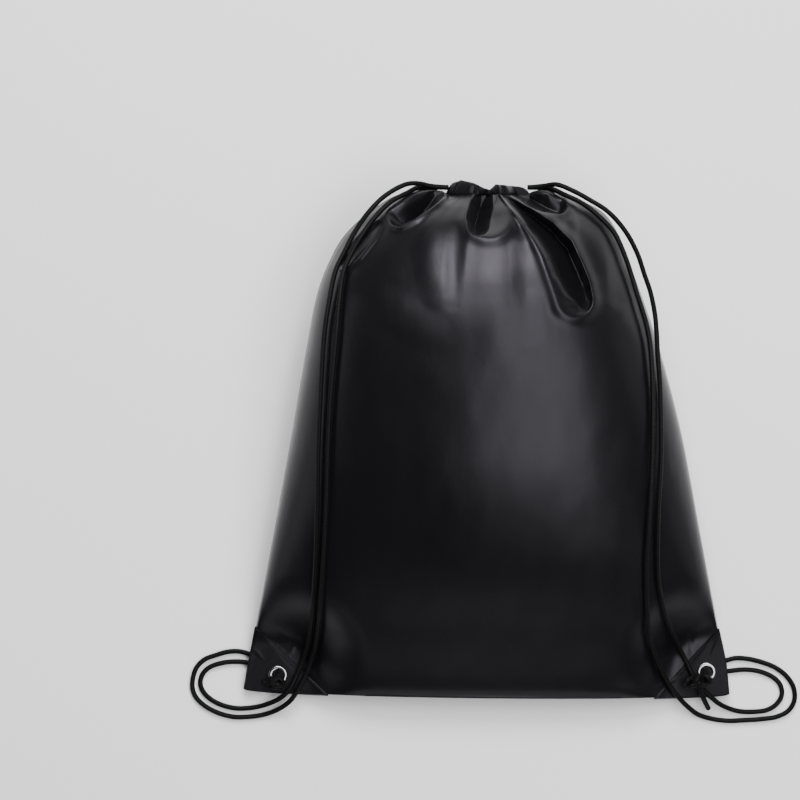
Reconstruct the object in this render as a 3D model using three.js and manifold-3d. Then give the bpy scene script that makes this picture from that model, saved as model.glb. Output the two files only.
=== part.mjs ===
// Drawstring carry bag in black satin, lying on its back panel with its gathered mouth towards +Y.
// Millimetres, +Z up. The origin is on the floor under the middle of the bag.
import * as THREE from 'three';
import { mergeVertices } from 'three/addons/utils/BufferGeometryUtils.js';
import Module from 'manifold-3d';

const wasm = await Module();
wasm.setup();

// Driving sizes of the bag as it lies
const BAG_WIDTH = 420; // between the side seams along the bottom edge
const BAG_LENGTH = 450; // from the bottom seam to the rim of the gathered casing
const BAG_DEPTH = 138; // from the floor to the fullest part of the front
const BACK_ROUND = 52; // how far in from a side seam the back panel reaches the floor
const CLOTH = 1.2; // wall of the panels
const PATCH_CLOTH = 1; // wall of the corner patches
const GAP = 0.3; // clearance between neighbouring pieces

// Gathered casing round the mouth
const CASING_WALL = 9; // gathered cloth and the two cords inside it, across the ring
const CASING_TURNS = 36; // stations round the ring
const RUFFLES = 12;
const RUFFLE_DEPTH = 1;
const SOCKET_DEPTH = 3; // how far a cord runs into the casing before it is hidden
const SOCKET_SPACING = 6.4; // between the two cords on one side
// Outline of the ring's wall: [across, along], from -1 to 1 over the wall and from 0 to 1 over the length
const CASING_PROFILE = [
  [-1, 0.3], [-0.6, 0], [0.6, 0], [1, 0.3], [1, 0.8], [0.55, 1], [-0.55, 1], [-1, 0.8],
];

// Cords and eyelets
const CORD_DIAMETER = 4.4;
const CORD_SIDES = 8;
const CORD_STEPS = 43;
const KNOT_RING = 3.6; // radius of a turn of cord inside a knot, to the cord's middle
const KNOT_SIDES = 6; // round the cord of a turn
const KNOT_STEPS = 8; // along a turn
const CORE_RINGS = 4;
const TAIL_STEPS = 5;
const EYELET_OUTSIDE = 16;
const EYELET_BORE = 9.8;
const EYELET_WALL = 0.7; // wall of the barrel
const FLANGE = 0.8; // thickness of each flange
const EYELET_SIDES = 14;

// Flat stretch round each eyelet, where every layer lies together
const FLAT_REACH = 24;
const FLAT_FADE = 62;

const CROWN_POWER = 0.85; // below 1 makes the front fuller than an ellipse
const SIDE_FADE = 0.25; // share of the crown over which folds fade out towards a side seam
const BOTTOM_TURN = 2 * CLOTH; // how far a panel's cloth turns in at the bottom seam
const ORIGIN_SHARE = 0.5; // the origin lies under this share of the length

// Steps over which slopes are read, in sections and in half widths, and the distance that merges corners
const NORMAL_STEP = 0.02;
const SEAM_STEP = 0.05;
const END_STEP = 0.01;
const MERGE_DISTANCE = 1e-4;

// The middle of the layers at an eyelet lies high enough for a cord to pass under the lower flange
const CORNER_HEIGHT = CORD_DIAMETER + 2 * GAP + FLANGE + GAP + PATCH_CLOTH + GAP + CLOTH + GAP / 2;

const CORD_RADIUS = CORD_DIAMETER / 2;
const { lerp, clamp, smoothstep } = THREE.MathUtils;

function table(columns, rows) {
  return rows.map((row) => Object.fromEntries(row.map((value, index) => [columns[index], value])));
}

// Sections across the bag from the mouth to the bottom seam. left and right are shares of the width from
// the centre line, leftEnd, rightEnd and middle are shares of the length from the bottom seam, and the
// heights are shares of the depth.
const SECTIONS = table(
  ['left', 'right', 'leftEnd', 'rightEnd', 'middle', 'seam', 'seamMiddle', 'front', 'back'],
  [
    [-0.076, 0.08, 0.972, 0.972, 0.972, 0.348, 0.348, 0.478, 0.217],
    [-0.13, 0.128, 0.976, 0.974, 0.935, 0.355, 0.355, 0.681, 0.13],
    [-0.187, 0.179, 0.971, 0.965, 0.889, 0.362, 0.362, 0.826, 0.058],
    [-0.245, 0.237, 0.937, 0.939, 0.831, 0.37, 0.37, 0.913, 0.014],
    [-0.292, 0.27, 0.896, 0.896, 0.778, 0.377, 0.377, 0.964, 0],
    [-0.323, 0.292, 0.847, 0.843, 0.728, 0.377, 0.377, 0.993, 0],
    [-0.35, 0.323, 0.78, 0.764, 0.663, 0.384, 0.384, 1, 0],
    [-0.372, 0.356, 0.674, 0.67, 0.57, 0.384, 0.384, 0.986, 0],
    [-0.401, 0.399, 0.517, 0.517, 0.436, 0.362, 0.362, 0.913, 0],
    [-0.438, 0.438, 0.329, 0.329, 0.271, 0.29, 0.29, 0.71, 0],
    [-0.47, 0.471, 0.172, 0.172, 0.129, 0.174, 0.188, 0.442, 0],
    [-0.488, 0.492, 0.085, 0.08, 0.051, 0.094, 0.181, 0.29, 0.022],
    [-0.496, 0.498, 0.043, 0.034, 0.016, 0.072, 0.181, 0.225, 0.087],
    [-0.5, 0.5, 0.022, 0.012, 0.003, 0.065, 0.181, 0.181, 0.181],
  ],
);
const LAST_SECTION = SECTIONS.length - 1;
const NEAR_LAST = LAST_SECTION - END_STEP;

// Where the panels' rows of corners lie, counted in sections
const MOUTH_ROWS = [0, 0.3, 0.65, 1, 1.35, 1.7, 2.05, 2.4, 2.8, 3.2, 3.6, 4, 4.5, 5, 5.6, 6.3];
const MIDDLE_ROWS = [7.1, 8, 9];
const BOTTOM_ROWS = [10, 10.5, 11, 11.5, 12, 12.5, 13];
const FRONT_ROWS = [...MOUTH_ROWS, ...MIDDLE_ROWS, ...BOTTOM_ROWS];
const BACK_ROWS = [0, 0.65, 1.35, 2.05, 3.2, 4.5, 7.1, 9, ...BOTTOM_ROWS];
const HALF_COLUMNS = 16;
const CORNER_COLUMN = 6;
const BACK_STRIDE = 6;

// Folds of the front round the gather. Each path point is [across, along, reach, lift]: shares of the
// width, the length, the width and the depth, and a negative lift is a valley.
const FOLDS = {
  leftShoulder: [[-0.204, 0.919, 0.018, -0.03], [-0.251, 0.866, 0.02, -0.05], [-0.288, 0.831, 0.016, -0.03]],
  leftPleat: [
    [-0.072, 0.967, 0.014, -0.03], [-0.117, 0.956, 0.018, -0.07],
    [-0.169, 0.933, 0.018, -0.07], [-0.191, 0.918, 0.014, -0.04],
  ],
  mouthHollow: [[-0.014, 0.962, 0.022, -0.05], [-0.012, 0.935, 0.026, -0.11], [-0.021, 0.904, 0.022, -0.07]],
  longValley: [
    [0.033, 0.967, 0.012, -0.03], [0.068, 0.939, 0.02, -0.08], [0.119, 0.885, 0.034, -0.1],
    [0.154, 0.818, 0.034, -0.09], [0.179, 0.755, 0.024, -0.06],
  ],
  rightPleat: [[0.051, 0.967, 0.012, -0.03], [0.101, 0.952, 0.016, -0.05], [0.154, 0.948, 0.016, -0.04]],
  leftRidge: [[-0.115, 0.895, 0.03, 0.035], [-0.113, 0.827, 0.034, 0.04], [-0.084, 0.76, 0.03, 0.03]],
  middleRidge: [[0.01, 0.866, 0.042, 0.04], [0.014, 0.77, 0.046, 0.05], [0.037, 0.664, 0.042, 0.03]],
  crossRidge: [[-0.278, 0.799, 0.03, 0.03], [-0.195, 0.76, 0.034, 0.03], [-0.138, 0.712, 0.03, 0.02]],
  middleValley: [[-0.062, 0.933, 0.018, -0.035], [-0.07, 0.77, 0.018, -0.03]],
};

// Bottom corners: the eyelet's place and the patch's ends on the side seam and on the bottom seam
const CORNERS = table(
  ['name', 'side', 'eyeletX', 'eyeletY', 'patchUp', 'patchIn'],
  [
    ['left', -1, -0.432, 0.047, 0.162, 0.183],
    ['right', 1, 0.455, 0.053, 0.158, 0.157],
  ],
);

function followTable(column, position) {
  const index = clamp(Math.floor(position), 0, LAST_SECTION - 1);
  const share = position - index;
  const [before, start, end, after] = [-1, 0, 1, 2].map(
    (step) => SECTIONS[clamp(index + step, 0, LAST_SECTION)][column],
  );
  const leave = (end - before) / 2;
  const arrive = (after - start) / 2;
  const change = end - start;
  const cubic = leave + arrive - 2 * change;
  const square = 3 * change - 2 * leave - arrive;
  return start + share * (leave + share * (square + share * cubic));
}

function sectionAt(position) {
  const along = (column) => (followTable(column, position) - ORIGIN_SHARE) * BAG_LENGTH;
  const up = (column) => Math.max(0, followTable(column, position)) * BAG_DEPTH;
  return {
    left: followTable('left', position) * BAG_WIDTH,
    right: followTable('right', position) * BAG_WIDTH,
    leftEnd: along('leftEnd'),
    rightEnd: along('rightEnd'),
    middle: along('middle'),
    seam: up('seam'),
    seamMiddle: up('seamMiddle'),
    front: up('front'),
    back: up('back'),
  };
}

function cornerCentre(corner) {
  return new THREE.Vector2(corner.eyeletX * BAG_WIDTH, (corner.eyeletY - ORIGIN_SHARE) * BAG_LENGTH);
}

// 1 where the layers lie flat together round an eyelet, 0 away from it
function flatShare(x, y) {
  const shares = CORNERS.map((corner) => {
    const distance = cornerCentre(corner).distanceTo(new THREE.Vector2(x, y));
    return 1 - smoothstep(distance, FLAT_REACH, FLAT_REACH + FLAT_FADE);
  });
  return Math.max(...shares);
}

function foldLift(x, y) {
  const here = new THREE.Vector2(x, y);
  let lift = 0;
  for (const path of Object.values(FOLDS)) {
    let nearest = Infinity;
    let pathLift = 0;
    for (let i = 0; i + 1 < path.length; i += 1) {
      const [ax, ay, aReach, aLift] = path[i];
      const [bx, by, bReach, bLift] = path[i + 1];
      const a = new THREE.Vector2(ax * BAG_WIDTH, (ay - ORIGIN_SHARE) * BAG_LENGTH);
      const b = new THREE.Vector2(bx * BAG_WIDTH, (by - ORIGIN_SHARE) * BAG_LENGTH);
      const run = b.clone().sub(a);
      const share = clamp(here.clone().sub(a).dot(run) / run.lengthSq(), 0, 1);
      const reach = lerp(aReach, bReach, share) * BAG_WIDTH;
      const distance = a.addScaledVector(run, share).distanceTo(here) / reach;
      if (distance < nearest) {
        nearest = distance;
        pathLift = lerp(aLift, bLift, share) * BAG_DEPTH;
      }
    }
    lift += nearest < 1 ? pathLift * (1 - nearest ** 2) ** 2 : 0;
  }
  return lift;
}

// Plan position of a point: across runs from -1 at the left seam to 1 at the right seam
function plan(section, across) {
  const turn = (across * Math.PI) / 2;
  const swing = (1 + Math.sin(turn)) / 2;
  const bow = Math.max(0, Math.cos(turn));
  const sideMiddle = (section.leftEnd + section.rightEnd) / 2;
  return {
    x: lerp(section.left, section.right, swing),
    y: lerp(section.leftEnd, section.rightEnd, swing) + (section.middle - sideMiddle) * bow,
    crown: bow ** CROWN_POWER,
    side: Math.abs(Math.sin(turn)),
  };
}

// Height of the surface where front and back would meet
function seamHeight(section, place) {
  const height = lerp(section.seam, section.seamMiddle, place.crown);
  return lerp(height, CORNER_HEIGHT, flatShare(place.x, place.y));
}

function frontPoint(position, across) {
  const section = sectionAt(position);
  const place = plan(section, across);
  const lowest = seamHeight(section, place) + GAP / 2 + CLOTH;
  const fade = smoothstep(position, 0, 1) * smoothstep(place.crown, 0, SIDE_FADE);
  const round = lerp(section.seam, section.front, place.crown) + fade * foldLift(place.x, place.y);
  const flat = lerp(round, lowest, flatShare(place.x, place.y));
  return new THREE.Vector3(place.x, place.y, Math.max(flat, lowest));
}

function backPoint(position, across) {
  const section = sectionAt(position);
  const place = plan(section, across);
  const highest = seamHeight(section, place) - GAP / 2 - CLOTH;
  const flatSide = Math.max(0, 1 - (2 * BACK_ROUND) / (section.right - section.left));
  const round = Math.max(0, place.side - flatSide) / (1 - flatSide);
  const drop = Math.sqrt(Math.max(0, 1 - round ** 2));
  const height = lerp(section.seam, section.back, drop);
  const flat = lerp(height, highest, flatShare(place.x, place.y));
  return new THREE.Vector3(place.x, place.y, Math.min(flat, highest));
}

// Unit normal out of the bag; up is 1 for the front and -1 for the back
function normalAt(surface, position, across, up) {
  const before = Math.max(0, position - NORMAL_STEP);
  const after = Math.min(LAST_SECTION, position + NORMAL_STEP);
  const low = Math.max(-1, across - NORMAL_STEP);
  const high = Math.min(1, across + NORMAL_STEP);
  const along = surface(after, across).sub(surface(before, across));
  const over = surface(position, high).sub(surface(position, low));
  return along.cross(over).normalize().multiplyScalar(up);
}

// Direction in plan from a seam into the bag
function inward(position, across) {
  const before = plan(sectionAt(Math.max(0, position - SEAM_STEP)), across);
  const after = plan(sectionAt(Math.min(LAST_SECTION, position + SEAM_STEP)), across);
  const run = new THREE.Vector2(after.x - before.x, after.y - before.y).normalize();
  const side = new THREE.Vector3(-run.y * across, run.x * across, 0).negate();
  return position < LAST_SECTION ? side : new THREE.Vector3(0, 1, 0);
}

// Outer and inner skins of one panel; up is 1 for the front and -1 for the back
function panelSkins(surface, rows, columns, up) {
  const outer = [];
  const inner = [];
  for (const position of rows) {
    const section = sectionAt(position);
    const outerRow = [];
    const innerRow = [];
    for (const column of columns) {
      const across = column / HALF_COLUMNS;
      const place = plan(section, across);
      const seam = seamHeight(section, place) + (up * GAP) / 2;
      const atSide = Math.abs(column) === HALF_COLUMNS;
      const atBottom = position === LAST_SECTION;
      const point = surface(position, across);
      const inside = point.clone().addScaledVector(normalAt(surface, position, across, up), -CLOTH);
      if (atSide || atBottom) {
        point.set(place.x, place.y, seam);
        inside.copy(point);
        if (atSide) inside.addScaledVector(inward(Math.min(position, NEAR_LAST), across), CLOTH);
        if (atBottom) inside.y += BOTTOM_TURN;
      }
      inside.z = up > 0 ? Math.max(inside.z, seam) : Math.min(inside.z, seam);
      outerRow.push(point);
      innerRow.push(inside);
    }
    outer.push(outerRow);
    inner.push(innerRow);
  }
  return { outer, inner };
}

function signedVolume(corners, triangles) {
  const total = triangles.reduce((sum, [a, b, c]) => {
    const across = corners[b].clone().cross(corners[c]);
    return sum + corners[a].dot(across);
  }, 0);
  return total / 6;
}

// Closed geometry with its faces pointing out
function closedGeometry(corners, triangles) {
  const outward = signedVolume(corners, triangles) > 0;
  const geometry = new THREE.BufferGeometry();
  const places = corners.flatMap((corner) => corner.toArray());
  geometry.setAttribute('position', new THREE.Float32BufferAttribute(places, 3));
  geometry.setIndex(triangles.flatMap(([a, b, c]) => (outward ? [a, b, c] : [a, c, b])));
  return geometry;
}

// Solid between two grids of points that match row for row and column for column
function solidBetween(top, bottom) {
  const rows = top.length;
  const columns = top[0].length;
  const corners = [...top.flat(), ...bottom.flat()];
  const shift = rows * columns;
  const triangles = [];
  const quad = (a, b, c, d) => triangles.push([a, b, c], [a, c, d]);
  for (let i = 0; i + 1 < rows; i += 1) {
    for (let j = 0; j + 1 < columns; j += 1) {
      const a = i * columns + j;
      const b = a + 1;
      const c = b + columns;
      const d = a + columns;
      quad(a, b, c, d);
      quad(shift + a, shift + d, shift + c, shift + b);
    }
  }
  const edge = [];
  for (let j = 0; j + 1 < columns; j += 1) edge.push(j);
  for (let i = 0; i + 1 < rows; i += 1) edge.push(i * columns + columns - 1);
  for (let j = columns - 1; j > 0; j -= 1) edge.push((rows - 1) * columns + j);
  for (let i = rows - 1; i > 0; i -= 1) edge.push(i * columns);
  edge.forEach((a, index) => {
    const b = edge[(index + 1) % edge.length];
    quad(b, a, shift + a, shift + b);
  });
  return closedGeometry(corners, triangles);
}

function toManifold(geometry) {
  const bare = geometry.clone();
  bare.deleteAttribute('normal');
  bare.deleteAttribute('uv');
  const merged = mergeVertices(bare, MERGE_DISTANCE);
  return new wasm.Manifold(
    new wasm.Mesh({
      numProp: 3,
      vertProperties: new Float32Array(merged.attributes.position.array),
      triVerts: new Uint32Array(merged.index.array),
    }),
  );
}

function toGeometry(solid) {
  const mesh = solid.getMesh();
  const geometry = new THREE.BufferGeometry();
  geometry.setAttribute('position', new THREE.BufferAttribute(mesh.vertProperties, 3));
  geometry.setIndex(new THREE.BufferAttribute(mesh.triVerts, 1));
  return geometry;
}

function cylinderAlong(radius, start, end, sides) {
  const axis = end.clone().sub(start);
  const geometry = new THREE.CylinderGeometry(radius, radius, axis.length(), sides);
  const up = new THREE.Vector3(0, 1, 0);
  const turn = new THREE.Quaternion().setFromUnitVectors(up, axis.clone().normalize());
  geometry.applyQuaternion(turn);
  geometry.translate(...start.clone().lerp(end, 0.5).toArray());
  return geometry;
}

// Holes through every layer for the eyelets' barrels
function eyeletHoles() {
  const radius = EYELET_BORE / 2 + EYELET_WALL + GAP;
  const holes = CORNERS.map((corner) => {
    const { x, y } = cornerCentre(corner);
    const low = new THREE.Vector3(x, y, 0);
    const high = new THREE.Vector3(x, y, 2 * CORNER_HEIGHT);
    return toManifold(cylinderAlong(radius, low, high, EYELET_SIDES));
  });
  return holes[0].add(holes[1]);
}

function range(low, high, step) {
  const count = Math.round((high - low) / step);
  return Array.from({ length: count + 1 }, (_, index) => low + index * step);
}

const FRONT_COLUMNS = range(-HALF_COLUMNS, HALF_COLUMNS, 1);
const BACK_COLUMNS = [
  ...range(-HALF_COLUMNS, -CORNER_COLUMN, 1),
  ...range(BACK_STRIDE - CORNER_COLUMN, CORNER_COLUMN - BACK_STRIDE, BACK_STRIDE),
  ...range(CORNER_COLUMN, HALF_COLUMNS, 1),
];

function panel(surface, rows, columns, up) {
  const { outer, inner } = panelSkins(surface, rows, columns, up);
  return toGeometry(toManifold(solidBetween(outer, inner)).subtract(eyeletHoles()));
}

// Both panels of one corner as a filled body, grown by a clearance all round
function cornerBody(corner, grow) {
  const ends = [CORNER_COLUMN * corner.side, HALF_COLUMNS * corner.side];
  const columns = range(Math.min(...ends), Math.max(...ends), 1);
  const slabs = [[frontPoint, 1], [backPoint, -1]].map(([surface, up]) => {
    const { outer } = panelSkins(surface, BOTTOM_ROWS, columns, up);
    const grown = (point, position, column) => {
      const across = column / HALF_COLUMNS;
      const atSide = Math.abs(column) === HALF_COLUMNS;
      const atBottom = position === LAST_SECTION;
      const moved = point.clone();
      if (!atSide && !atBottom) return moved.addScaledVector(normalAt(surface, position, across, up), grow);
      if (atSide) moved.addScaledVector(inward(Math.min(position, NEAR_LAST), across), -grow);
      if (atBottom) moved.y -= grow;
      moved.z += (up * grow) / 2;
      return moved;
    };
    const skin = outer.map((row, i) => row.map((point, j) => grown(point, BOTTOM_ROWS[i], columns[j])));
    const middle = skin.map((row, i) => row.map((point, j) => {
      const place = plan(sectionAt(BOTTOM_ROWS[i]), columns[j] / HALF_COLUMNS);
      const height = seamHeight(sectionAt(BOTTOM_ROWS[i]), place) - (up * GAP) / 4;
      return new THREE.Vector3(point.x, point.y, height);
    }));
    return toManifold(solidBetween(skin, middle));
  });
  return slabs[0].add(slabs[1]);
}

// Plan of a corner patch: a triangle that runs past both edges of the bag
function patchPrism(corner) {
  const edge = (corner.side * BAG_WIDTH) / 2;
  const low = -BAG_LENGTH / 2;
  const margin = CORNER_HEIGHT;
  const up = low + corner.patchUp * BAG_LENGTH;
  const inX = edge - corner.side * corner.patchIn * BAG_WIDTH;
  const slope = (up - low) / (edge - inX);
  const outX = edge + corner.side * margin;
  const shape = new THREE.Shape();
  shape.moveTo(outX, low - margin);
  shape.lineTo(outX, low + (outX - inX) * slope);
  shape.lineTo(inX - margin / slope, low - margin);
  shape.closePath();
  const depth = { depth: BAG_DEPTH, bevelEnabled: false, curveSegments: 1 };
  const prism = new THREE.ExtrudeGeometry(shape, depth);
  return toManifold(prism);
}

function cornerPatch(corner) {
  const outside = cornerBody(corner, GAP + PATCH_CLOTH);
  const inside = cornerBody(corner, GAP);
  const cut = outside.subtract(inside).intersect(patchPrism(corner)).subtract(eyeletHoles());
  const bodies = cut.decompose().sort((a, b) => b.volume() - a.volume());
  return toGeometry(bodies[0]);
}

// One point of the loop on which the casing sits; turn runs once round the mouth from the left seam
function mouthLoop(turn) {
  const onFront = turn < Math.PI;
  const share = (turn % Math.PI) / Math.PI;
  const across = onFront ? 2 * share - 1 : 1 - 2 * share;
  return onFront ? frontPoint(0, across) : backPoint(0, across);
}

function casing() {
  const section = sectionAt(0);
  const centre = new THREE.Vector3((section.left + section.right) / 2, 0, section.seam);
  const rings = [];
  for (let i = 0; i < CASING_TURNS; i += 1) {
    const turn = (2 * Math.PI * i) / CASING_TURNS;
    const point = mouthLoop(turn);
    const out = point.clone().sub(centre).setY(0).normalize();
    const ruffle = Math.cos(RUFFLES * turn) * RUFFLE_DEPTH;
    const half = CASING_WALL / 2;
    rings.push(CASING_PROFILE.map(([across, along]) => {
      const reach = across * half + (along > 0 ? ruffle * along : 0);
      const rise = GAP + along * (BAG_LENGTH / 2 - point.y - GAP);
      return point.clone().addScaledVector(out, reach - CLOTH / 2).add(new THREE.Vector3(0, rise, 0));
    }));
  }
  const corners = rings.flat();
  const sides = CASING_PROFILE.length;
  const triangles = [];
  for (let i = 0; i < CASING_TURNS; i += 1) {
    for (let j = 0; j < sides; j += 1) {
      const a = i * sides + j;
      const b = i * sides + ((j + 1) % sides);
      const next = ((i + 1) % CASING_TURNS) * sides;
      const c = next + ((j + 1) % sides);
      const d = next + j;
      triangles.push([a, b, c], [a, c, d]);
    }
  }
  return toGeometry(toManifold(closedGeometry(corners, triangles)).subtract(socketHoles()));
}

// Stacks of the layers at an eyelet, from the middle outwards
const GRIP = GAP / 2 + CLOTH + GAP + PATCH_CLOTH + GAP;
const EYELET_TOP = CORNER_HEIGHT + GRIP + FLANGE;

function eyelet(corner) {
  const bore = EYELET_BORE / 2;
  const barrel = bore + EYELET_WALL;
  const outside = EYELET_OUTSIDE / 2;
  const roll = FLANGE / 2; // rounding of the flange's rim
  const upper = [
    [barrel, GRIP], [outside, GRIP], [outside, GRIP + roll],
    [outside - 2 * roll, GRIP + FLANGE], [bore, GRIP + FLANGE],
  ];
  const lower = upper.map(([radius, height]) => [radius, -height]).reverse();
  const outline = [...upper, ...lower, upper[0]];
  const profile = outline.map(([radius, height]) => new THREE.Vector2(radius, height));
  const geometry = new THREE.LatheGeometry(profile, EYELET_SIDES);
  const { x, y } = cornerCentre(corner);
  geometry.rotateX(Math.PI / 2);
  geometry.translate(x, y, CORNER_HEIGHT);
  return toGeometry(toManifold(geometry));
}

function cordSection() {
  const shape = new THREE.Shape();
  for (let i = 0; i < CORD_SIDES; i += 1) {
    const turn = (2 * Math.PI * (i + 0.5)) / CORD_SIDES;
    const corner = [CORD_RADIUS * Math.cos(turn), CORD_RADIUS * Math.sin(turn)];
    if (i === 0) shape.moveTo(...corner);
    else shape.lineTo(...corner);
  }
  shape.closePath();
  return shape;
}

function tube(points, steps) {
  const places = points.map((point) => new THREE.Vector3(...point));
  const extrudePath = new THREE.CatmullRomCurve3(places, false, 'centripetal');
  const settings = { steps, extrudePath, bevelEnabled: false, curveSegments: 1 };
  return new THREE.ExtrudeGeometry(cordSection(), settings);
}

// Free cord routes from just outside the casing to the eyelet, chosen by hand in millimetres
const CORD_ROUTES = {
  left_cord_a: [
    [-49, 220, 53], [-60, 222, 59], [-70, 221, 64], [-87.3, 211.5, 71], [-101.1, 198, 77],
    [-113.2, 181, 78.5],
    [-122.7, 163, 82], [-130.5, 146, 86], [-135.7, 121.6, 92.5], [-140, 92.3, 96.5], [-143.5, 35, 99.5],
    [-145.2, -8, 98], [-146, -51, 92], [-147, -86, 84.5], [-148.2, -113.4, 75.5], [-149.9, -137.6, 63],
    [-153, -166, 34], [-157.3, -185, 18.5], [-164.2, -202.4, 14.6], [-172, -217, 14.4],
    [-179, -223.5, 12.5],
    [-189.3, -228.8, 6.5], [-199.6, -231.8, 3], [-210, -233.1, 2.5], [-220.4, -232.7, 2.5],
    [-231.6, -229.6, 2.5], [-240.7, -224.5, 2.5], [-246.7, -218, 2.5], [-248.9, -211.1, 2.5],
    [-247.2, -203.8, 2.5], [-242, -198.1, 2.5], [-232.5, -194.2, 2.5], [-220.4, -192.5, 2.5],
    [-207.4, -193.4, 2.5], [-196.2, -197.3, 2.5], [-185.1, -204.2, 2.5],
  ],
  left_cord_b: [
    [-50, 219, 45], [-60, 218.5, 51], [-68.5, 214, 60.5], [-83, 206, 68], [-95.9, 193.4, 74],
    [-107.2, 177.8, 81.5],
    [-116.7, 161.4, 86], [-123.6, 145, 92.5], [-127, 121.6, 100], [-129.6, 92.3, 105.5],
    [-134.8, 35.2, 105.5],
    [-137, -8, 102.5], [-138.3, -51.2, 95.5], [-140, -85.8, 87], [-141.7, -113.4, 78], [-143.5, -137.6, 66],
    [-146.5, -166.1, 39], [-150.4, -185.2, 21], [-156.4, -202.4, 15.5], [-164.2, -217.1, 14.8],
    [-171, -226.5, 12.5], [-182.3, -234.4, 5.5], [-194.4, -238.7, 2.6], [-207.4, -240.5, 2.5],
    [-220.4, -240.5, 2.5], [-232.5, -237.4, 2.5], [-243.7, -231.8, 2.5], [-252.3, -224, 2.5],
    [-255.8, -215.4, 2.5], [-255.4, -206.7, 2.5], [-252.3, -197.7, 2.5], [-245.4, -190.8, 2.5],
    [-234.2, -186.4, 2.5], [-223.8, -183.7, 2.5], [-213.5, -183.8, 2.5], [-204, -186.9, 2.5],
    [-193.6, -193.4, 2.5], [-182.2, -200.7, 2.5],
  ],
  right_cord_a: [
    [49, 220, 53], [60, 221, 58.8], [73, 216, 61.2], [88.5, 207.6, 61.8], [104, 197.5, 63],
    [118.5, 181.3, 63], [129, 162.3, 62.5], [135.5, 143.2, 62.5], [140.5, 128.5, 63], [144.3, 109.5, 66],
    [145.5, 95, 71], [146.3, 75, 78], [148, 47, 85.5], [148.6, -8, 95], [146, -68.5, 90],
    [146.9, -120.3, 73],
    [150.4, -137.6, 64], [156, -155.8, 45.5], [163.3, -172.2, 27], [169.4, -184.3, 18], [176, -197.4, 14.6],
    [181.5, -208.5, 14.6], [188.5, -217, 15], [194.5, -222.5, 14], [202.2, -228.8, 8.5], [210, -232.7, 4.5],
    [220.4, -235.7, 2.6], [233.3, -236.1, 2.5], [244.6, -234.4, 2.5], [252.3, -229.6, 2.5],
    [257.1, -221.4, 2.5],
    [255.8, -212.8, 2.5], [249.8, -206.3, 2.5], [238.5, -201.2, 2.5], [225.6, -199.4, 2.5],
    [211.7, -200.6, 2.5], [194.4, -203, 2.5],
  ],
  right_cord_b: [
    [49, 218.5, 45], [57.5, 217, 50], [66, 212.5, 60.5], [80.4, 205.5, 65], [95.9, 193.4, 72],
    [108, 180.4, 74],
    [114.1, 169.2, 75], [119.3, 156.2, 76], [123.6, 143.2, 76.5], [127, 131.1, 79], [132.2, 114.7, 81.5],
    [136.5, 100, 83.5], [139.5, 82.7, 86.5], [141.4, 47.3, 93.5], [141, -8, 99.5], [138.3, -68.5, 94],
    [136.5, -103.1, 84], [137.4, -137.6, 68], [140, -166.1, 47.5], [144.3, -182.6, 33], [151.2, -199, 22],
    [159, -212.8, 18], [166.8, -223, 15.8], [174, -230.5, 9.8], [184, -238.3, 3.6], [196.2, -242.2, 2.5],
    [209.1, -243.9, 2.5], [223.8, -243.5, 2.5], [238.5, -242.6, 2.5], [252.3, -240.5, 2.5],
    [262.7, -235.3, 2.5],
    [267.9, -226.6, 2.5], [267.5, -215.4, 2.5], [261.9, -205.9, 2.5], [252.3, -198.1, 2.5],
    [241.1, -193.4, 2.5],
    [229, -190.3, 2.5], [216.9, -189.5, 2.5], [204.8, -192.9, 2.5], [193.1, -198.2, 2.5],
  ],
};

// Where a cord starts inside the casing: side is -1 or 1, level is 1 for the upper cord
function socketStart(side, level) {
  const section = sectionAt(0);
  const face = (side > 0 ? section.right : section.left) + side * ((CASING_WALL - CLOTH) / 2);
  return new THREE.Vector3(
    face - side * (SOCKET_DEPTH - GAP),
    (section.middle + GAP + BAG_LENGTH / 2) / 2,
    section.seam + (level * SOCKET_SPACING) / 2,
  );
}

function socketHoles() {
  const holes = [];
  for (const side of [-1, 1]) {
    for (const level of [-1, 1]) {
      const start = socketStart(side, level);
      const low = start.clone().add(new THREE.Vector3(-side * GAP, 0, 0));
      const high = start.clone().add(new THREE.Vector3(side * CASING_WALL, 0, 0));
      holes.push(toManifold(cylinderAlong(CORD_RADIUS + 2 * GAP, low, high, CORD_SIDES)));
    }
  }
  return holes.reduce((sum, hole) => sum.add(hole));
}

function cord(name) {
  const side = name.startsWith('left') ? -1 : 1;
  const level = name.endsWith('a') ? 1 : -1;
  const start = socketStart(side, level);
  const leave = start.clone().add(new THREE.Vector3(side * SOCKET_DEPTH, 0, 0));
  return tube([start.toArray(), leave.toArray(), ...CORD_ROUTES[name]], CORD_STEPS);
}

// Stopper knots: rings are [x, y, height, tilt about x, tilt about y] of a turn of cord, all from the
// knot's centre; shank is the direction in plan in which the two strands lie side by side in the bore
const KNOTS = {
  left_knot: {
    corner: CORNERS[0], shank: [0.54, 0.84], centre: [-182, -209, 6],
    rings: [[0, 0, 0, 0.5, 0.2], [0.6, 0.4, 0.8, -0.9, 0.5]],
    tail: [[-184, -210, 18], [-189, -210.6, 16.4], [-194, -210.4, 15.2]],
  },
  right_knot: {
    corner: CORNERS[1], shank: [-0.25, 0.97], centre: [184.5, -206, 10.5],
    rings: [[-5.5, 0.6, 0, 0.4, 0.9], [0, -0.6, 0.4, -0.8, 0.3], [3.4, 0, -0.6, 0.9, -0.4]],
    tail: [[184, -210, 23], [186, -219, 21], [190, -227.5, 15], [193, -233, 9]],
  },
};

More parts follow.
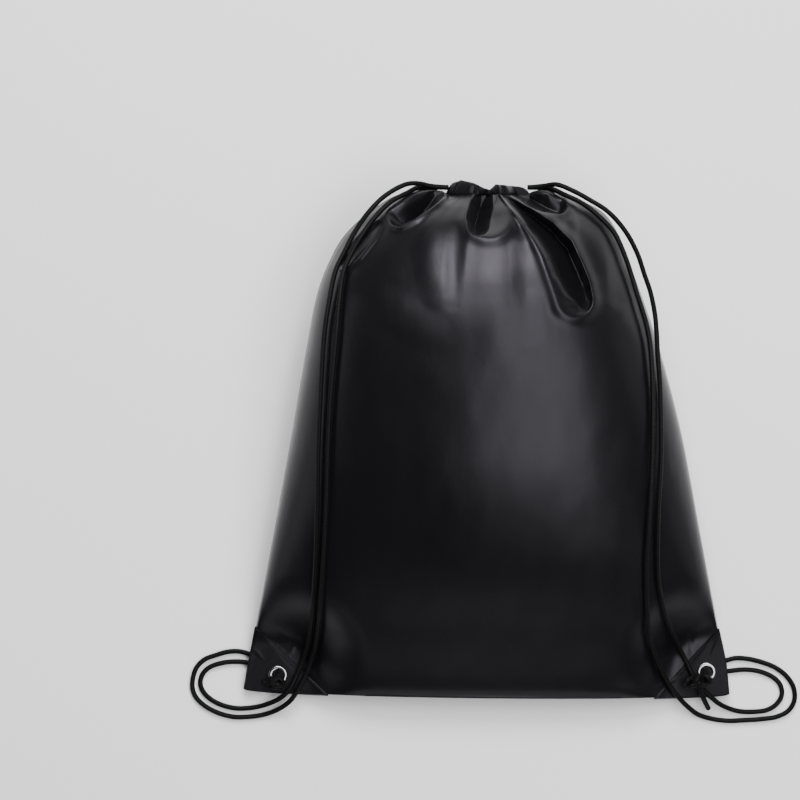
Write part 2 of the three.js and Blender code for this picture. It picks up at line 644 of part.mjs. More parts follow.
function knot({ corner, shank, centre, rings, tail }) {
  const middle = new THREE.Vector3(centre[0], centre[1], EYELET_TOP + centre[2]);
  const turns = rings.map(([x, y, height, tiltX, tiltY]) => {
    const ring = new THREE.TorusGeometry(KNOT_RING, CORD_RADIUS, KNOT_SIDES, KNOT_STEPS);
    ring.rotateX(tiltX).rotateY(tiltY);
    ring.translate(middle.x + x, middle.y + y, middle.z + height);
    return toManifold(ring);
  });
  const core = new THREE.SphereGeometry(KNOT_RING, KNOT_SIDES, CORE_RINGS);
  core.translate(...middle.toArray());
  const { x, y } = cornerCentre(corner);
  const inset = EYELET_BORE / 2 - CORD_RADIUS - 2 * GAP;
  const strands = [-1, 1].map((way) => {
    const low = new THREE.Vector3(x + way * inset * shank[0], y + way * inset * shank[1], GAP);
    const high = low.clone().setZ(middle.z);
    return toManifold(cylinderAlong(CORD_RADIUS, low, high, CORD_SIDES));
  });
  const over = new THREE.Vector3(x, y, middle.z);
  const bridge = toManifold(cylinderAlong(CORD_RADIUS, over, middle, CORD_SIDES));
  const pieces = [...turns, toManifold(core), ...strands, bridge, toManifold(tube(tail, TAIL_STEPS))];
  return toGeometry(pieces.reduce((sum, piece) => sum.add(piece)));
}

const satin = new THREE.MeshStandardMaterial({ color: 0x17161a, roughness: 0.4, metalness: 0 });
const patchSatin = new THREE.MeshStandardMaterial({ color: 0x1b1a1e, roughness: 0.45, metalness: 0 });
const braid = new THREE.MeshStandardMaterial({ color: 0x121214, roughness: 0.75, metalness: 0 });
const nickel = new THREE.MeshStandardMaterial({ color: 0xb9b9bb, roughness: 0.3, metalness: 1 });

const bag = new THREE.Group();

function addPiece(name, geometry, material) {
  const mesh = new THREE.Mesh(geometry, material);
  mesh.name = name;
  bag.add(mesh);
}

addPiece('front_panel', panel(frontPoint, FRONT_ROWS, FRONT_COLUMNS, 1), satin);
addPiece('back_panel', panel(backPoint, BACK_ROWS, BACK_COLUMNS, -1), satin);
addPiece('drawstring_casing', casing(), satin);
CORNERS.forEach((corner) => addPiece(`${corner.name}_corner_patch`, cornerPatch(corner), patchSatin));
CORNERS.forEach((corner) => addPiece(`${corner.name}_eyelet`, eyelet(corner), nickel));
Object.keys(CORD_ROUTES).forEach((name) => addPiece(name, cord(name), braid));
Object.entries(KNOTS).forEach(([name, form]) => addPiece(name, knot(form), braid));

export default bag;
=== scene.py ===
"""Drawstring carry bag in black satin, lying on its back panel with its gathered mouth towards +Y."""
import math

import bpy
import numpy as np
from mathutils import Euler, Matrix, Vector, noise


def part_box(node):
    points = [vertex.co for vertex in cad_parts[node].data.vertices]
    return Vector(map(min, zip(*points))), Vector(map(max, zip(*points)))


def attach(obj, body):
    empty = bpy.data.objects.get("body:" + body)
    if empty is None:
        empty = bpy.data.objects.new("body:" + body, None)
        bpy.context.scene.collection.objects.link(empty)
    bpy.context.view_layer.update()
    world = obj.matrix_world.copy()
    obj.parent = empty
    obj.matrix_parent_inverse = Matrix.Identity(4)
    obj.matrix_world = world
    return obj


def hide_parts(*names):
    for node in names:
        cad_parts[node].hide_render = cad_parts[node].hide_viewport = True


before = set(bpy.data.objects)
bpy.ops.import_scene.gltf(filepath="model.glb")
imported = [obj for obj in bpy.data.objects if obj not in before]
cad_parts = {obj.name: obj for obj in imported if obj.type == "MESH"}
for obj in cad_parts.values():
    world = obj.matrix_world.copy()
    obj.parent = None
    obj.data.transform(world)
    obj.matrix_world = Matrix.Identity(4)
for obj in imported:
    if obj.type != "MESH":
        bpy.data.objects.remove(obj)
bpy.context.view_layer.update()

# Driving sizes, in metres, from the frame and from the bag's own construction
panel_low, panel_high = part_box("front_panel")
casing_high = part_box("drawstring_casing")[1]
BAG_WIDTH = panel_high.x - panel_low.x
BAG_LENGTH = 2 * casing_high.y
BAG_DEPTH = 0.138
BACK_ROUND = 0.052
CLOTH = 0.0012
PATCH_CLOTH = 0.001
GAP = 0.0003
CASING_WALL = 0.009
CORD_DIAMETER = 0.0044
CORD_RADIUS = CORD_DIAMETER / 2
BRAID_STRANDS = 8
BRAID_PITCH = 0.0032
EYELET_OUTSIDE = 0.016
EYELET_BORE = 0.0098
FLANGE = 0.0008
FLAT_REACH = 0.024
FLAT_FADE = 0.062
CROWN_POWER = 0.85
CORNER_HEIGHT = CORD_DIAMETER + 2 * GAP + FLANGE + GAP + PATCH_CLOTH + GAP + CLOTH + GAP / 2
GRIP = GAP / 2 + CLOTH + GAP + PATCH_CLOTH + GAP
MM = 0.001
TINY = 1e-12
HALVINGS = 40

# Camera: the photograph is taken from straight above
IMAGE_SIZE = 800
BAG_PIXELS = 486
PIXEL = BAG_WIDTH / BAG_PIXELS
CENTRE_PIXEL = (487, 440.75)
CAMERA_HEIGHT = 6.0
SEAM_PLANE = 0.045
SENSOR = 36
CLIP_END = 50

SECTION_COLUMNS = (
    "left", "right", "left_end", "right_end", "middle", "seam", "seam_middle", "front", "back",
)
# Sections from the mouth to the bottom seam, as shares of the width, the length and the depth
SECTIONS = np.array([
    (-0.076, 0.08, 0.972, 0.972, 0.972, 0.348, 0.348, 0.478, 0.217),
    (-0.13, 0.128, 0.976, 0.974, 0.935, 0.355, 0.355, 0.681, 0.13),
    (-0.187, 0.179, 0.971, 0.965, 0.889, 0.362, 0.362, 0.826, 0.058),
    (-0.245, 0.237, 0.937, 0.939, 0.831, 0.37, 0.37, 0.913, 0.014),
    (-0.292, 0.27, 0.896, 0.896, 0.778, 0.377, 0.377, 0.964, 0),
    (-0.323, 0.292, 0.847, 0.843, 0.728, 0.377, 0.377, 0.993, 0),
    (-0.35, 0.323, 0.78, 0.764, 0.663, 0.384, 0.384, 1, 0),
    (-0.372, 0.356, 0.674, 0.67, 0.57, 0.384, 0.384, 0.986, 0),
    (-0.401, 0.399, 0.517, 0.517, 0.436, 0.362, 0.362, 0.913, 0),
    (-0.438, 0.438, 0.329, 0.329, 0.271, 0.29, 0.29, 0.71, 0),
    (-0.47, 0.471, 0.172, 0.172, 0.129, 0.174, 0.188, 0.442, 0),
    (-0.488, 0.492, 0.085, 0.08, 0.051, 0.094, 0.181, 0.29, 0.022),
    (-0.496, 0.498, 0.043, 0.034, 0.016, 0.072, 0.181, 0.225, 0.087),
    (-0.5, 0.5, 0.022, 0.012, 0.003, 0.065, 0.181, 0.181, 0.181),
])
LAST_SECTION = len(SECTIONS) - 1

# How far the cloth is drawn up beside the casing, in metres at points across the bag
SHOULDER_ACROSS = [-0.078, -0.066, -0.056, -0.046, -0.038, -0.033, 0.034, 0.039, 0.046, 0.053, 0.06, 0.07]
SHOULDER_LIFT = [0, 0.0015, 0.0028, 0.0034, 0.0025, 0, 0, 0.0025, 0.0036, 0.0032, 0.0015, 0]
SHOULDER_FOOT, SHOULDER_TOP = 0.197, 0.212

# Each point of a valley is (across, along, reach, depth, rim); shares as above, the rim stands proud
VALLEYS = {
    "left_shoulder": [
        (-0.224, 0.912, 0.0103, 0.014, 0.007), (-0.247, 0.889, 0.0154, 0.036, 0.014),
        (-0.274, 0.859, 0.0165, 0.036, 0.016), (-0.296, 0.836, 0.0123, 0.022, 0.012),
    ],
    "left_pleat": [
        (-0.064, 0.993, 0.0051, 0.029, 0.004), (-0.08, 0.985, 0.0103, 0.065, 0.011),
        (-0.097, 0.977, 0.0154, 0.101, 0.018), (-0.117, 0.966, 0.0195, 0.13, 0.022),
        (-0.138, 0.954, 0.0216, 0.138, 0.023), (-0.16, 0.94, 0.0226, 0.123, 0.023),
        (-0.183, 0.928, 0.0216, 0.08, 0.023),
    ],
    "mouth_pocket": [
        (0.002, 0.989, 0.0082, 0.022, 0.011), (0, 0.968, 0.0267, 0.043, 0.018),
        (0, 0.947, 0.0412, 0.065, 0.022), (0.002, 0.928, 0.0453, 0.065, 0.025),
    ],
    "mouth_hollow": [
        (0, 0.987, 0.0082, 0.058, 0), (-0.008, 0.968, 0.0206, 0.159, 0),
        (-0.014, 0.947, 0.0267, 0.203, 0), (-0.019, 0.926, 0.0267, 0.181, 0),
        (-0.019, 0.912, 0.0247, 0.13, 0),
    ],
    "long_valley": [
        (0.023, 0.985, 0.0041, 0.022, 0.007), (0.037, 0.968, 0.0082, 0.065, 0.011),
        (0.056, 0.951, 0.0134, 0.109, 0.018), (0.084, 0.926, 0.0185, 0.152, 0.022),
        (0.115, 0.897, 0.0278, 0.203, 0.023), (0.142, 0.862, 0.035, 0.217, 0.025),
        (0.158, 0.824, 0.037, 0.203, 0.025), (0.171, 0.791, 0.0381, 0.159, 0.025),
        (0.177, 0.768, 0.037, 0.101, 0.025),
    ],
    "right_pleat": [
        (0.025, 0.989, 0.0072, 0.043, 0.004), (0.051, 0.978, 0.0154, 0.094, 0.011),
        (0.084, 0.966, 0.0206, 0.13, 0.014), (0.117, 0.958, 0.0226, 0.13, 0.017),
        (0.144, 0.953, 0.0216, 0.094, 0.017),
    ],
}

# How far a hollow's floor leans under one of its rims, in plan, as a share of its reach
VALLEY_LEAN = {
    "left_pleat": (0.5, -0.75),
    "mouth_hollow": (-0.3, -0.6),
    "long_valley": (0.6, 0.1),
    "right_pleat": (0.1, -0.8),
}

# Each point of a soft swell, or of a groove below zero, is (across, along, reach, height)
RIDGES = {
    "left_swell": [
        (-0.117, 0.916, 0.035, 0.0043), (-0.117, 0.866, 0.0453, 0.0094), (-0.109, 0.816, 0.0453, 0.0094),
        (-0.101, 0.778, 0.0412, 0.0051),
    ],
    "left_groove": [
        (-0.053, 0.932, 0.0185, -0.0036), (-0.064, 0.886, 0.0247, -0.0101),
        (-0.07, 0.828, 0.0247, -0.0087), (-0.074, 0.761, 0.0226, -0.0029),
    ],
    "middle_swell": [
        (0.006, 0.855, 0.0412, 0.0036), (0.008, 0.799, 0.0494, 0.0072), (0.01, 0.722, 0.0494, 0.0072),
        (0.014, 0.67, 0.0453, 0.0036),
    ],
    "middle_groove": [
        (0.07, 0.859, 0.0247, -0.0036), (0.078, 0.79, 0.0309, -0.008), (0.088, 0.703, 0.0309, -0.0036),
    ],
    "cross_swell": [
        (-0.302, 0.809, 0.0412, 0.004), (-0.241, 0.774, 0.0514, 0.007), (-0.183, 0.743, 0.0514, 0.007),
        (-0.117, 0.705, 0.0453, 0.003),
    ],
    "right_swell": [
        (0.226, 0.755, 0.037, 0.004), (0.27, 0.728, 0.0412, 0.007), (0.325, 0.697, 0.037, 0.004),
    ],
    "right_upright": [
        (0.177, 0.974, 0.0103, 0.003), (0.175, 0.951, 0.0144, 0.014), (0.175, 0.92, 0.0165, 0.016),
        (0.175, 0.886, 0.0144, 0.004),
    ],
    "right_cross": [
        (0.066, 0.939, 0.0082, 0.006), (0.093, 0.934, 0.0123, 0.017), (0.121, 0.928, 0.0144, 0.019),
        (0.15, 0.924, 0.0123, 0.004),
    ],
    "inner_rim": [
        (0.134, 0.807, 0.0072, 0.007), (0.148, 0.774, 0.0072, 0.014), (0.171, 0.749, 0.0072, 0.007),
    ],
    "right_shade": [
        (0.257, 0.901, 0.0288, -0.009), (0.274, 0.843, 0.0329, -0.014), (0.27, 0.774, 0.0309, -0.007),
    ],
    "centre_rim": [
        (0.012, 0.987, 0.0062, 0.014), (0.031, 0.968, 0.0093, 0.023), (0.053, 0.943, 0.0113, 0.022),
        (0.078, 0.916, 0.0103, 0.009),
    ],
}

# Each point of a small crease, as for a swell
CREASES = {
    "left_upper": [
        (-0.467, 0.156, 0.0041, 0.0007), (-0.451, 0.14, 0.0072, 0.0051), (-0.418, 0.112, 0.0082, 0.0058),
        (-0.381, 0.079, 0.0051, 0.0014),
    ],
    "left_lower": [
        (-0.393, 0.075, 0.0041, 0.0007), (-0.37, 0.058, 0.0072, 0.0051), (-0.348, 0.037, 0.0072, 0.0043),
        (-0.329, 0.019, 0.0041, 0.0007),
    ],
    "left_small": [
        (-0.488, 0.102, 0.0041, 0.0007), (-0.473, 0.089, 0.0062, 0.0036), (-0.461, 0.077, 0.0041, 0.0007),
    ],
    "left_middle": [
        (-0.416, 0.079, 0.0041, 0.0007), (-0.401, 0.098, 0.0062, 0.0036), (-0.391, 0.121, 0.0041, 0.0007),
    ],
    "right_upper": [
        (0.436, 0.152, 0.0041, 0.0007), (0.422, 0.121, 0.0072, 0.0051), (0.424, 0.089, 0.0051, 0.0014),
    ],
    "right_outer": [
        (0.486, 0.125, 0.0041, 0.0007), (0.475, 0.106, 0.0062, 0.0043), (0.465, 0.085, 0.0041, 0.0007),
    ],
    "right_inner": [
        (0.364, 0.106, 0.0041, 0.0007), (0.389, 0.089, 0.0072, 0.0051), (0.418, 0.073, 0.0041, 0.0007),
    ],
    "right_bottom": [
        (0.346, 0.021, 0.0041, 0.0007), (0.372, 0.033, 0.0062, 0.0036), (0.401, 0.041, 0.0041, 0.0007),
    ],
    "waist_upper": [
        (0.352, 0.442, 0.0041, 0.0007), (0.372, 0.45, 0.0062, 0.0043), (0.401, 0.448, 0.0041, 0.0007),
    ],
    "waist_middle": [
        (0.36, 0.419, 0.0041, 0.0007), (0.381, 0.425, 0.0051, 0.0036), (0.401, 0.425, 0.0041, 0.0007),
    ],
    "waist_lower": [
        (0.358, 0.398, 0.0041, 0.0007), (0.377, 0.402, 0.0051, 0.0029), (0.397, 0.4, 0.0041, 0.0007),
    ],
}

# The eyelet's place and the patch's ends on the side seam and on the bottom seam
CORNERS = {
    "left": {"side": -1, "eyelet": (-0.432, 0.047), "patch_up": 0.162, "patch_in": 0.183},
    "right": {"side": 1, "eyelet": (0.455, 0.053), "patch_up": 0.158, "patch_in": 0.157},
}


def smoothstep(low, high, value):
    share = np.clip((value - low) / (high - low), 0, 1)
    return share * share * (3 - 2 * share)


def lerp(start, end, share):
    return start + (end - start) * share


def unit(vectors):
    return vectors / np.maximum(np.linalg.norm(vectors, axis=-1), TINY)[..., None]


def follow(column, position):
    """A column of the section table at a position, by a smooth curve through its values."""
    values = SECTIONS[:, SECTION_COLUMNS.index(column)]
    index = np.clip(np.floor(position).astype(int), 0, LAST_SECTION - 1)
    share = position - index
    before, start, end, after = (values[np.clip(index + step, 0, LAST_SECTION)] for step in (-1, 0, 1, 2))
    leave = (end - before) / 2
    arrive = (after - start) / 2
    change = end - start
    cubic = leave + arrive - 2 * change
    square = 3 * change - 2 * leave - arrive
    return start + share * (leave + share * (square + share * cubic))


def section_at(position):
    position = np.asarray(position, float)
    section = {name: follow(name, position) * BAG_WIDTH for name in ("left", "right")}
    for name in ("left_end", "right_end", "middle"):
        section[name] = (follow(name, position) - 0.5) * BAG_LENGTH
    for name in ("seam", "seam_middle", "front", "back"):
        section[name] = np.maximum(0, follow(name, position)) * BAG_DEPTH
    return section


def corner_centre(corner):
    across, along = corner["eyelet"]
    return across * BAG_WIDTH, (along - 0.5) * BAG_LENGTH


def flat_share(x, y):
    """1 where the layers lie flat together round an eyelet, 0 away from it."""
    shares = []
    for corner in CORNERS.values():
        centre_x, centre_y = corner_centre(corner)
        distance = np.hypot(x - centre_x, y - centre_y)
        shares.append(1 - smoothstep(FLAT_REACH, FLAT_REACH + FLAT_FADE, distance))
    return np.maximum(*shares)


def along_path(path, x, y):
    """Distance from the nearest point of a fold's path, in reaches, and the path's values there."""
    nearest = np.full(np.shape(x), np.inf)
    found = np.zeros(np.shape(x) + (len(path[0]) - 2,))
    for first, second in zip(path, path[1:]):
        ax, ay = first[0] * BAG_WIDTH, (first[1] - 0.5) * BAG_LENGTH
        run_x, run_y = second[0] * BAG_WIDTH - ax, (second[1] - 0.5) * BAG_LENGTH - ay
        share = np.clip(((x - ax) * run_x + (y - ay) * run_y) / (run_x ** 2 + run_y ** 2), 0, 1)
        values = np.asarray(first[2:]) + (np.asarray(second[2:]) - np.asarray(first[2:])) * share[..., None]
        distance = np.hypot(x - ax - share * run_x, y - ay - share * run_y) / (values[..., 0] * BAG_WIDTH)
        closer = distance < nearest
        nearest = np.where(closer, distance, nearest)
        found = np.where(closer[..., None], values, found)
    return nearest, found


def fold_lift(x, y):
    """Height that the folds add: hollows with a crisp rim round them, and soft swells."""
    RIM_WIDTH, FLOOR_POWER, WALL_SWELL = 0.36, 1.5, 0.5
    lift = np.zeros(np.shape(x))
    for path in VALLEYS.values():
        distance, values = along_path(path, x, y)
        depth, rim = values[..., 1], values[..., 2]
        inside = np.clip(distance, 0, 1)
        lift -= depth * (1 - inside) ** FLOOR_POWER * (1 + WALL_SWELL * inside)
        lift += rim * np.exp(-(((distance - 1) / RIM_WIDTH) ** 2))
    return lift * BAG_DEPTH + swell_lift(RIDGES, x, y)


def swell_lift(swells, x, y):
    """Height that rounded swells and grooves add."""
    lift = np.zeros(np.shape(x))
    for path in swells.values():
        distance, values = along_path(path, x, y)
        lift += values[..., 1] * np.where(distance < 1, (1 - distance ** 2) ** 2, 0)
    return lift * BAG_DEPTH


def lean_shift(x, y):
    """Plan offset of points inside a hollow, which carries its floor under the rim that overhangs it."""
    LEAN_POWER = 1.3
    shift = np.zeros(np.shape(x) + (2,))
    for name, lean in VALLEY_LEAN.items():
        distance, values = along_path(VALLEYS[name], x, y)
        inside = np.clip(distance, 0, 1)
        reach = values[..., 0] * BAG_WIDTH * (1 - inside ** 2) ** LEAN_POWER
        shift += reach[..., None] * np.array(lean)
    return shift


def plan(section, across):
    """Plan position of a point: across runs from -1 at the left seam to 1 at the right seam."""
    turn = across * math.pi / 2
    swing = (1 + np.sin(turn)) / 2
    bow = np.maximum(0, np.cos(turn))
    side_middle = (section["left_end"] + section["right_end"]) / 2
    x = lerp(section["left"], section["right"], swing)
    y = lerp(section["left_end"], section["right_end"], swing) + (section["middle"] - side_middle) * bow
    return {
        "x": x,
        "y": y + np.interp(x, SHOULDER_ACROSS, SHOULDER_LIFT) * smoothstep(SHOULDER_FOOT, SHOULDER_TOP, y),
        "crown": bow ** CROWN_POWER,
        "side": np.abs(np.sin(turn)),
    }


def seam_height(section, place):
    height = lerp(section["seam"], section["seam_middle"], place["crown"])
    return lerp(height, CORNER_HEIGHT, flat_share(place["x"], place["y"]))


def rumple(x, y, scale_x, scale_y, seed):
    """Soft noise between -1 and 1, sampled point by point in plan."""
    places = zip(np.ravel(x) * scale_x, np.ravel(y) * scale_y)
    return np.reshape([noise.noise(Vector((*place, seed))) for place in places], np.shape(x))


def waves(place, terms):
    """Sum of waves, each given as (size, count, phase)."""
    return sum(size * np.sin(count * place + phase) for size, count, phase in terms)


def pleats(across):
    """Gathers of uneven width and height between the two side seams."""
    COUNT, MEAN = 17, 0.65
    DRIFT, UNEVEN = [(0.35, 3.1, 0.4), (0.2, 7.7, 0.8)], [(0.35, 11.3, 1.2)]
    return (MEAN + waves(across, UNEVEN)) * np.cos(math.pi * (COUNT * across + waves(across, DRIFT)))


def front_points(position, across):
    """Outer points of the front panel, with its pleats, folds and creases."""
    PLEAT_HEIGHT, PLEAT_FADE = 0.35 * MM, 1.4
    FOLD_START, FOLD_FULL, LEAN_START, LEAN_FULL = -0.8, 0.1, 0.4, 1.6
    FOLD_SIDE, EDGE_SIDE, EDGE_BOTTOM = 0.25, 0.3, 0.6
    # Height, scale across, scale along and seed of each layer of soft unevenness
    RUMPLES = [(1.1 * MM, 14, 8, 1.5), (0.32 * MM, 52, 34, 4.5)]
    section = section_at(position)
    place = plan(section, across)
    x, y = place["x"], place["y"]
    lowest = seam_height(section, place) + GAP / 2 + CLOTH
    fade = smoothstep(FOLD_START, FOLD_FULL, position) * smoothstep(0, FOLD_SIDE, place["crown"])
    edge = smoothstep(0, EDGE_SIDE, place["crown"]) * smoothstep(0, EDGE_BOTTOM, LAST_SECTION - position)
    height = lerp(section["seam"], section["front"], place["crown"]) + fade * fold_lift(x, y)
    height = height + PLEAT_HEIGHT * pleats(across) * np.exp(-position / PLEAT_FADE) * edge
    for size, scale_x, scale_y, seed in RUMPLES:
        height = height + edge * size * rumple(x, y, scale_x, scale_y, seed)
    flat = lerp(height, lowest, flat_share(x, y))
    shift = lean_shift(x, y) * smoothstep(LEAN_START, LEAN_FULL, position)[..., None]
    height = np.maximum(flat, lowest) + swell_lift(CREASES, x, y)
    return np.stack([x + shift[..., 0], y + shift[..., 1], height], -1)


def back_points(position, across):
    """Outer points of the back panel, flat on the floor with rounded sides."""
    section = section_at(position)
    place = plan(section, across)
    highest = seam_height(section, place) - GAP / 2 - CLOTH
    flat_side = np.maximum(0, 1 - 2 * BACK_ROUND / (section["right"] - section["left"]))
    turned = np.maximum(0, place["side"] - flat_side) / (1 - flat_side)
    drop = np.sqrt(np.maximum(0, 1 - turned ** 2))
    height = lerp(section["seam"], section["back"], drop)
    flat = lerp(height, highest, flat_share(place["x"], place["y"]))
    return np.stack([place["x"], place["y"], np.minimum(flat, highest)], -1)


def seam_points(position, across):
    """Points halfway between the two panels."""
    section = section_at(position)
    place = plan(section, across)
    return np.stack([place["x"], place["y"], seam_height(section, place)], -1)


def grid_faces(rows, columns, first=0, around=False, closed=False):
    """Quads of points stored row by row; around joins each row's ends, closed the last row to the first."""
    faces = []
    for i in range(rows if closed else rows - 1):
        for j in range(columns if around else columns - 1):
            a, b = (first + i * columns + k for k in (j, (j + 1) % columns))
            step = ((i + 1) % rows - i) * columns
            faces.append((a, b, b + step, a + step))
    return faces


def turned_over(faces):
    """The same quads seen from their other side."""
    return [(a, d, c, b) for a, b, c, d in faces]


def mesh_object(name, vertices, faces, material):
    mesh = bpy.data.meshes.new(name)
    mesh.from_pydata(np.asarray(vertices).tolist(), [], faces)
    mesh.update()
    mesh.polygons.foreach_set("use_smooth", [True] * len(mesh.polygons))
    mesh.materials.append(material)
    obj = bpy.data.objects.new(name, mesh)
    bpy.context.scene.collection.objects.link(obj)
    return obj


# Materials


class Nodes:
    """A material's node tree, with short calls for the nodes used here."""

    def __init__(self, name):
        self.material = bpy.data.materials.new(name)
        self.material.use_nodes = True
        self.tree = self.material.node_tree
        self.shader = self.tree.nodes["Principled BSDF"]
        self.place = self.add("ShaderNodeTexCoord").outputs["Object"]

    def add(self, kind, **settings):
        node = self.tree.nodes.new(kind)
        for key, value in settings.items():
            setattr(node, key, value)
        return node

    def feed(self, target, source):
        """Give an input a plain value or another node's output."""
        if isinstance(source, bpy.types.NodeSocket):
            self.tree.links.new(source, target)
        else:
            target.default_value = source

    def set(self, **values):
        for key, value in values.items():
            self.feed(self.shader.inputs[key.replace("_", " ")], value)

    def noise(self, coordinates, scale, detail=3):
        node = self.add("ShaderNodeTexNoise")
        node.inputs["Scale"].default_value = scale
        node.inputs["Detail"].default_value = detail
        self.feed(node.inputs["Vector"], coordinates)
        return node.outputs["Fac"]

    def stretch(self, coordinates, scale):
        node = self.add("ShaderNodeMapping")
        node.inputs["Scale"].default_value = scale
        self.feed(node.inputs["Vector"], coordinates)
        return node.outputs["Vector"]

    def math(self, operation, *sources):
        node = self.add("ShaderNodeMath", operation=operation)
        for socket, source in zip(node.inputs, sources):
            self.feed(socket, source)
        return node.outputs[0]

    def bump(self, height, strength, distance, normal=None):
        node = self.add("ShaderNodeBump")
        node.inputs["Strength"].default_value = strength
        node.inputs["Distance"].default_value = distance
        self.feed(node.inputs["Height"], height)
        if normal is not None:
            self.feed(node.inputs["Normal"], normal)
        return node.outputs["Normal"]

    def blend(self, share, low, high):
        node = self.add("ShaderNodeMapRange")
        node.inputs["To Min"].default_value = low
        node.inputs["To Max"].default_value = high
        self.feed(node.inputs["Value"], share)
        return node.outputs["Result"]

    def tint(self, share, low, high):
        node = self.add("ShaderNodeMix", data_type="RGBA")
        node.inputs["A"].default_value = (*low, 1)
        node.inputs["B"].default_value = (*high, 1)
        self.feed(node.inputs["Factor"], share)
        return node.outputs["Result"]


def satin_material(name, dark, light, roughness, crinkle, level):
    nodes = Nodes(name)
    threads = nodes.noise(nodes.stretch(nodes.place, (2400, 500, 1500)), 1, 2)
    cross = nodes.noise(nodes.stretch(nodes.place, (420, 1900, 1500)), 1, 2)
    creases = nodes.noise(nodes.stretch(nodes.place, (60, 26, 40)), 1, 4)
    cloud = nodes.noise(nodes.place, 9, 2)
    normal = nodes.bump(creases, crinkle, 2.5 * MM)
    nodes.set(
        Normal=nodes.bump(nodes.math("ADD", threads, cross), 0.25, 0.12 * MM, normal),
        Base_Color=nodes.tint(cloud, dark, light),
        Roughness=nodes.blend(creases, roughness - 0.05, roughness + 0.06),
        Sheen_Weight=0.01, Sheen_Roughness=0.4, Specular_IOR_Level=level, Anisotropic=0.2,
        Specular_Tint=(0.93, 0.89, 1, 1),
    )
    return nodes.material


def braid_material():
    nodes = Nodes("braid")
    uv = nodes.add("ShaderNodeUVMap", uv_map="braid").outputs["UV"]
    split = nodes.add("ShaderNodeSeparateXYZ")
    nodes.feed(split.inputs[0], uv)
    round_way = nodes.math("MULTIPLY", split.outputs["X"], math.pi * BRAID_STRANDS)
    long_way = nodes.math("MULTIPLY", split.outputs["Y"], math.pi / BRAID_PITCH)
    one = nodes.math("SINE", nodes.math("ADD", round_way, long_way))
    other = nodes.math("SINE", nodes.math("SUBTRACT", round_way, long_way))
    diamonds = nodes.math("MULTIPLY", one, other)
    share = nodes.blend(diamonds, 0, 1)
    fuzz = nodes.noise(nodes.place, 1800, 3)
    nodes.set(
        Normal=nodes.bump(fuzz, 0.3, 0.15 * MM, nodes.bump(diamonds, 0.5, 0.2 * MM)),
        Base_Color=nodes.tint(share, (0.0012, 0.0012, 0.0014), (0.0035, 0.0035, 0.0039)),
        Roughness=0.55, Sheen_Weight=0.01, Sheen_Roughness=0.5, Specular_IOR_Level=0.1,
    )
    return nodes.material


def thread_material():
    nodes = Nodes("thread")
    twist = nodes.noise(nodes.place, 2600, 2)
    nodes.set(
        Normal=nodes.bump(twist, 0.4, 0.1 * MM),
        Base_Color=nodes.tint(twist, (0.0015, 0.0015, 0.0018), (0.004, 0.004, 0.0045)),
        Roughness=0.5, Specular_IOR_Level=0.2,
    )
    return nodes.material


def nickel_material():
    nodes = Nodes("nickel")
    scuffs = nodes.noise(nodes.stretch(nodes.place, (900, 900, 300)), 1, 4)
    nodes.set(
        Normal=nodes.bump(scuffs, 0.12, 0.05 * MM),
        Base_Color=nodes.tint(scuffs, (0.2, 0.2, 0.21), (0.36, 0.36, 0.37)),
        Roughness=nodes.blend(scuffs, 0.1, 0.22), Metallic=1.0,
    )
    return nodes.material


SATIN = satin_material("satin", (0.0028, 0.0027, 0.0034), (0.0045, 0.0043, 0.0054), 0.33, 0.1, 0.22)
# The second satin, a duller copy of the cloth with a lower specular level, serves the corner patches and, as
# painted shade, the casing round the mouth
PATCH_AND_HEM_SHADE_SATIN = satin_material(
    "patch_satin", (0.0032, 0.0031, 0.0038), (0.005, 0.0048, 0.006), 0.4, 0.15, 0.09,
)
BRAID = braid_material()
THREAD = thread_material()
NICKEL = nickel_material()


# Camera


def world_x(pixel):
    return (pixel - CENTRE_PIXEL[0]) * PIXEL


def world_y(pixel):
    return (CENTRE_PIXEL[1] - pixel) * PIXEL


def make_camera():
    data = bpy.data.cameras.new("camera")
    data.sensor_width = SENSOR
    data.lens = SENSOR * (CAMERA_HEIGHT - SEAM_PLANE) / (IMAGE_SIZE * PIXEL)
    data.clip_end = CLIP_END
    camera = bpy.data.objects.new("camera", data)
    camera.location = (world_x(IMAGE_SIZE / 2), world_y(IMAGE_SIZE / 2), CAMERA_HEIGHT)
    bpy.context.scene.collection.objects.link(camera)
    bpy.context.scene.camera = camera


make_camera()


# Cords: the routes from just outside the casing to the eyelet, in metres

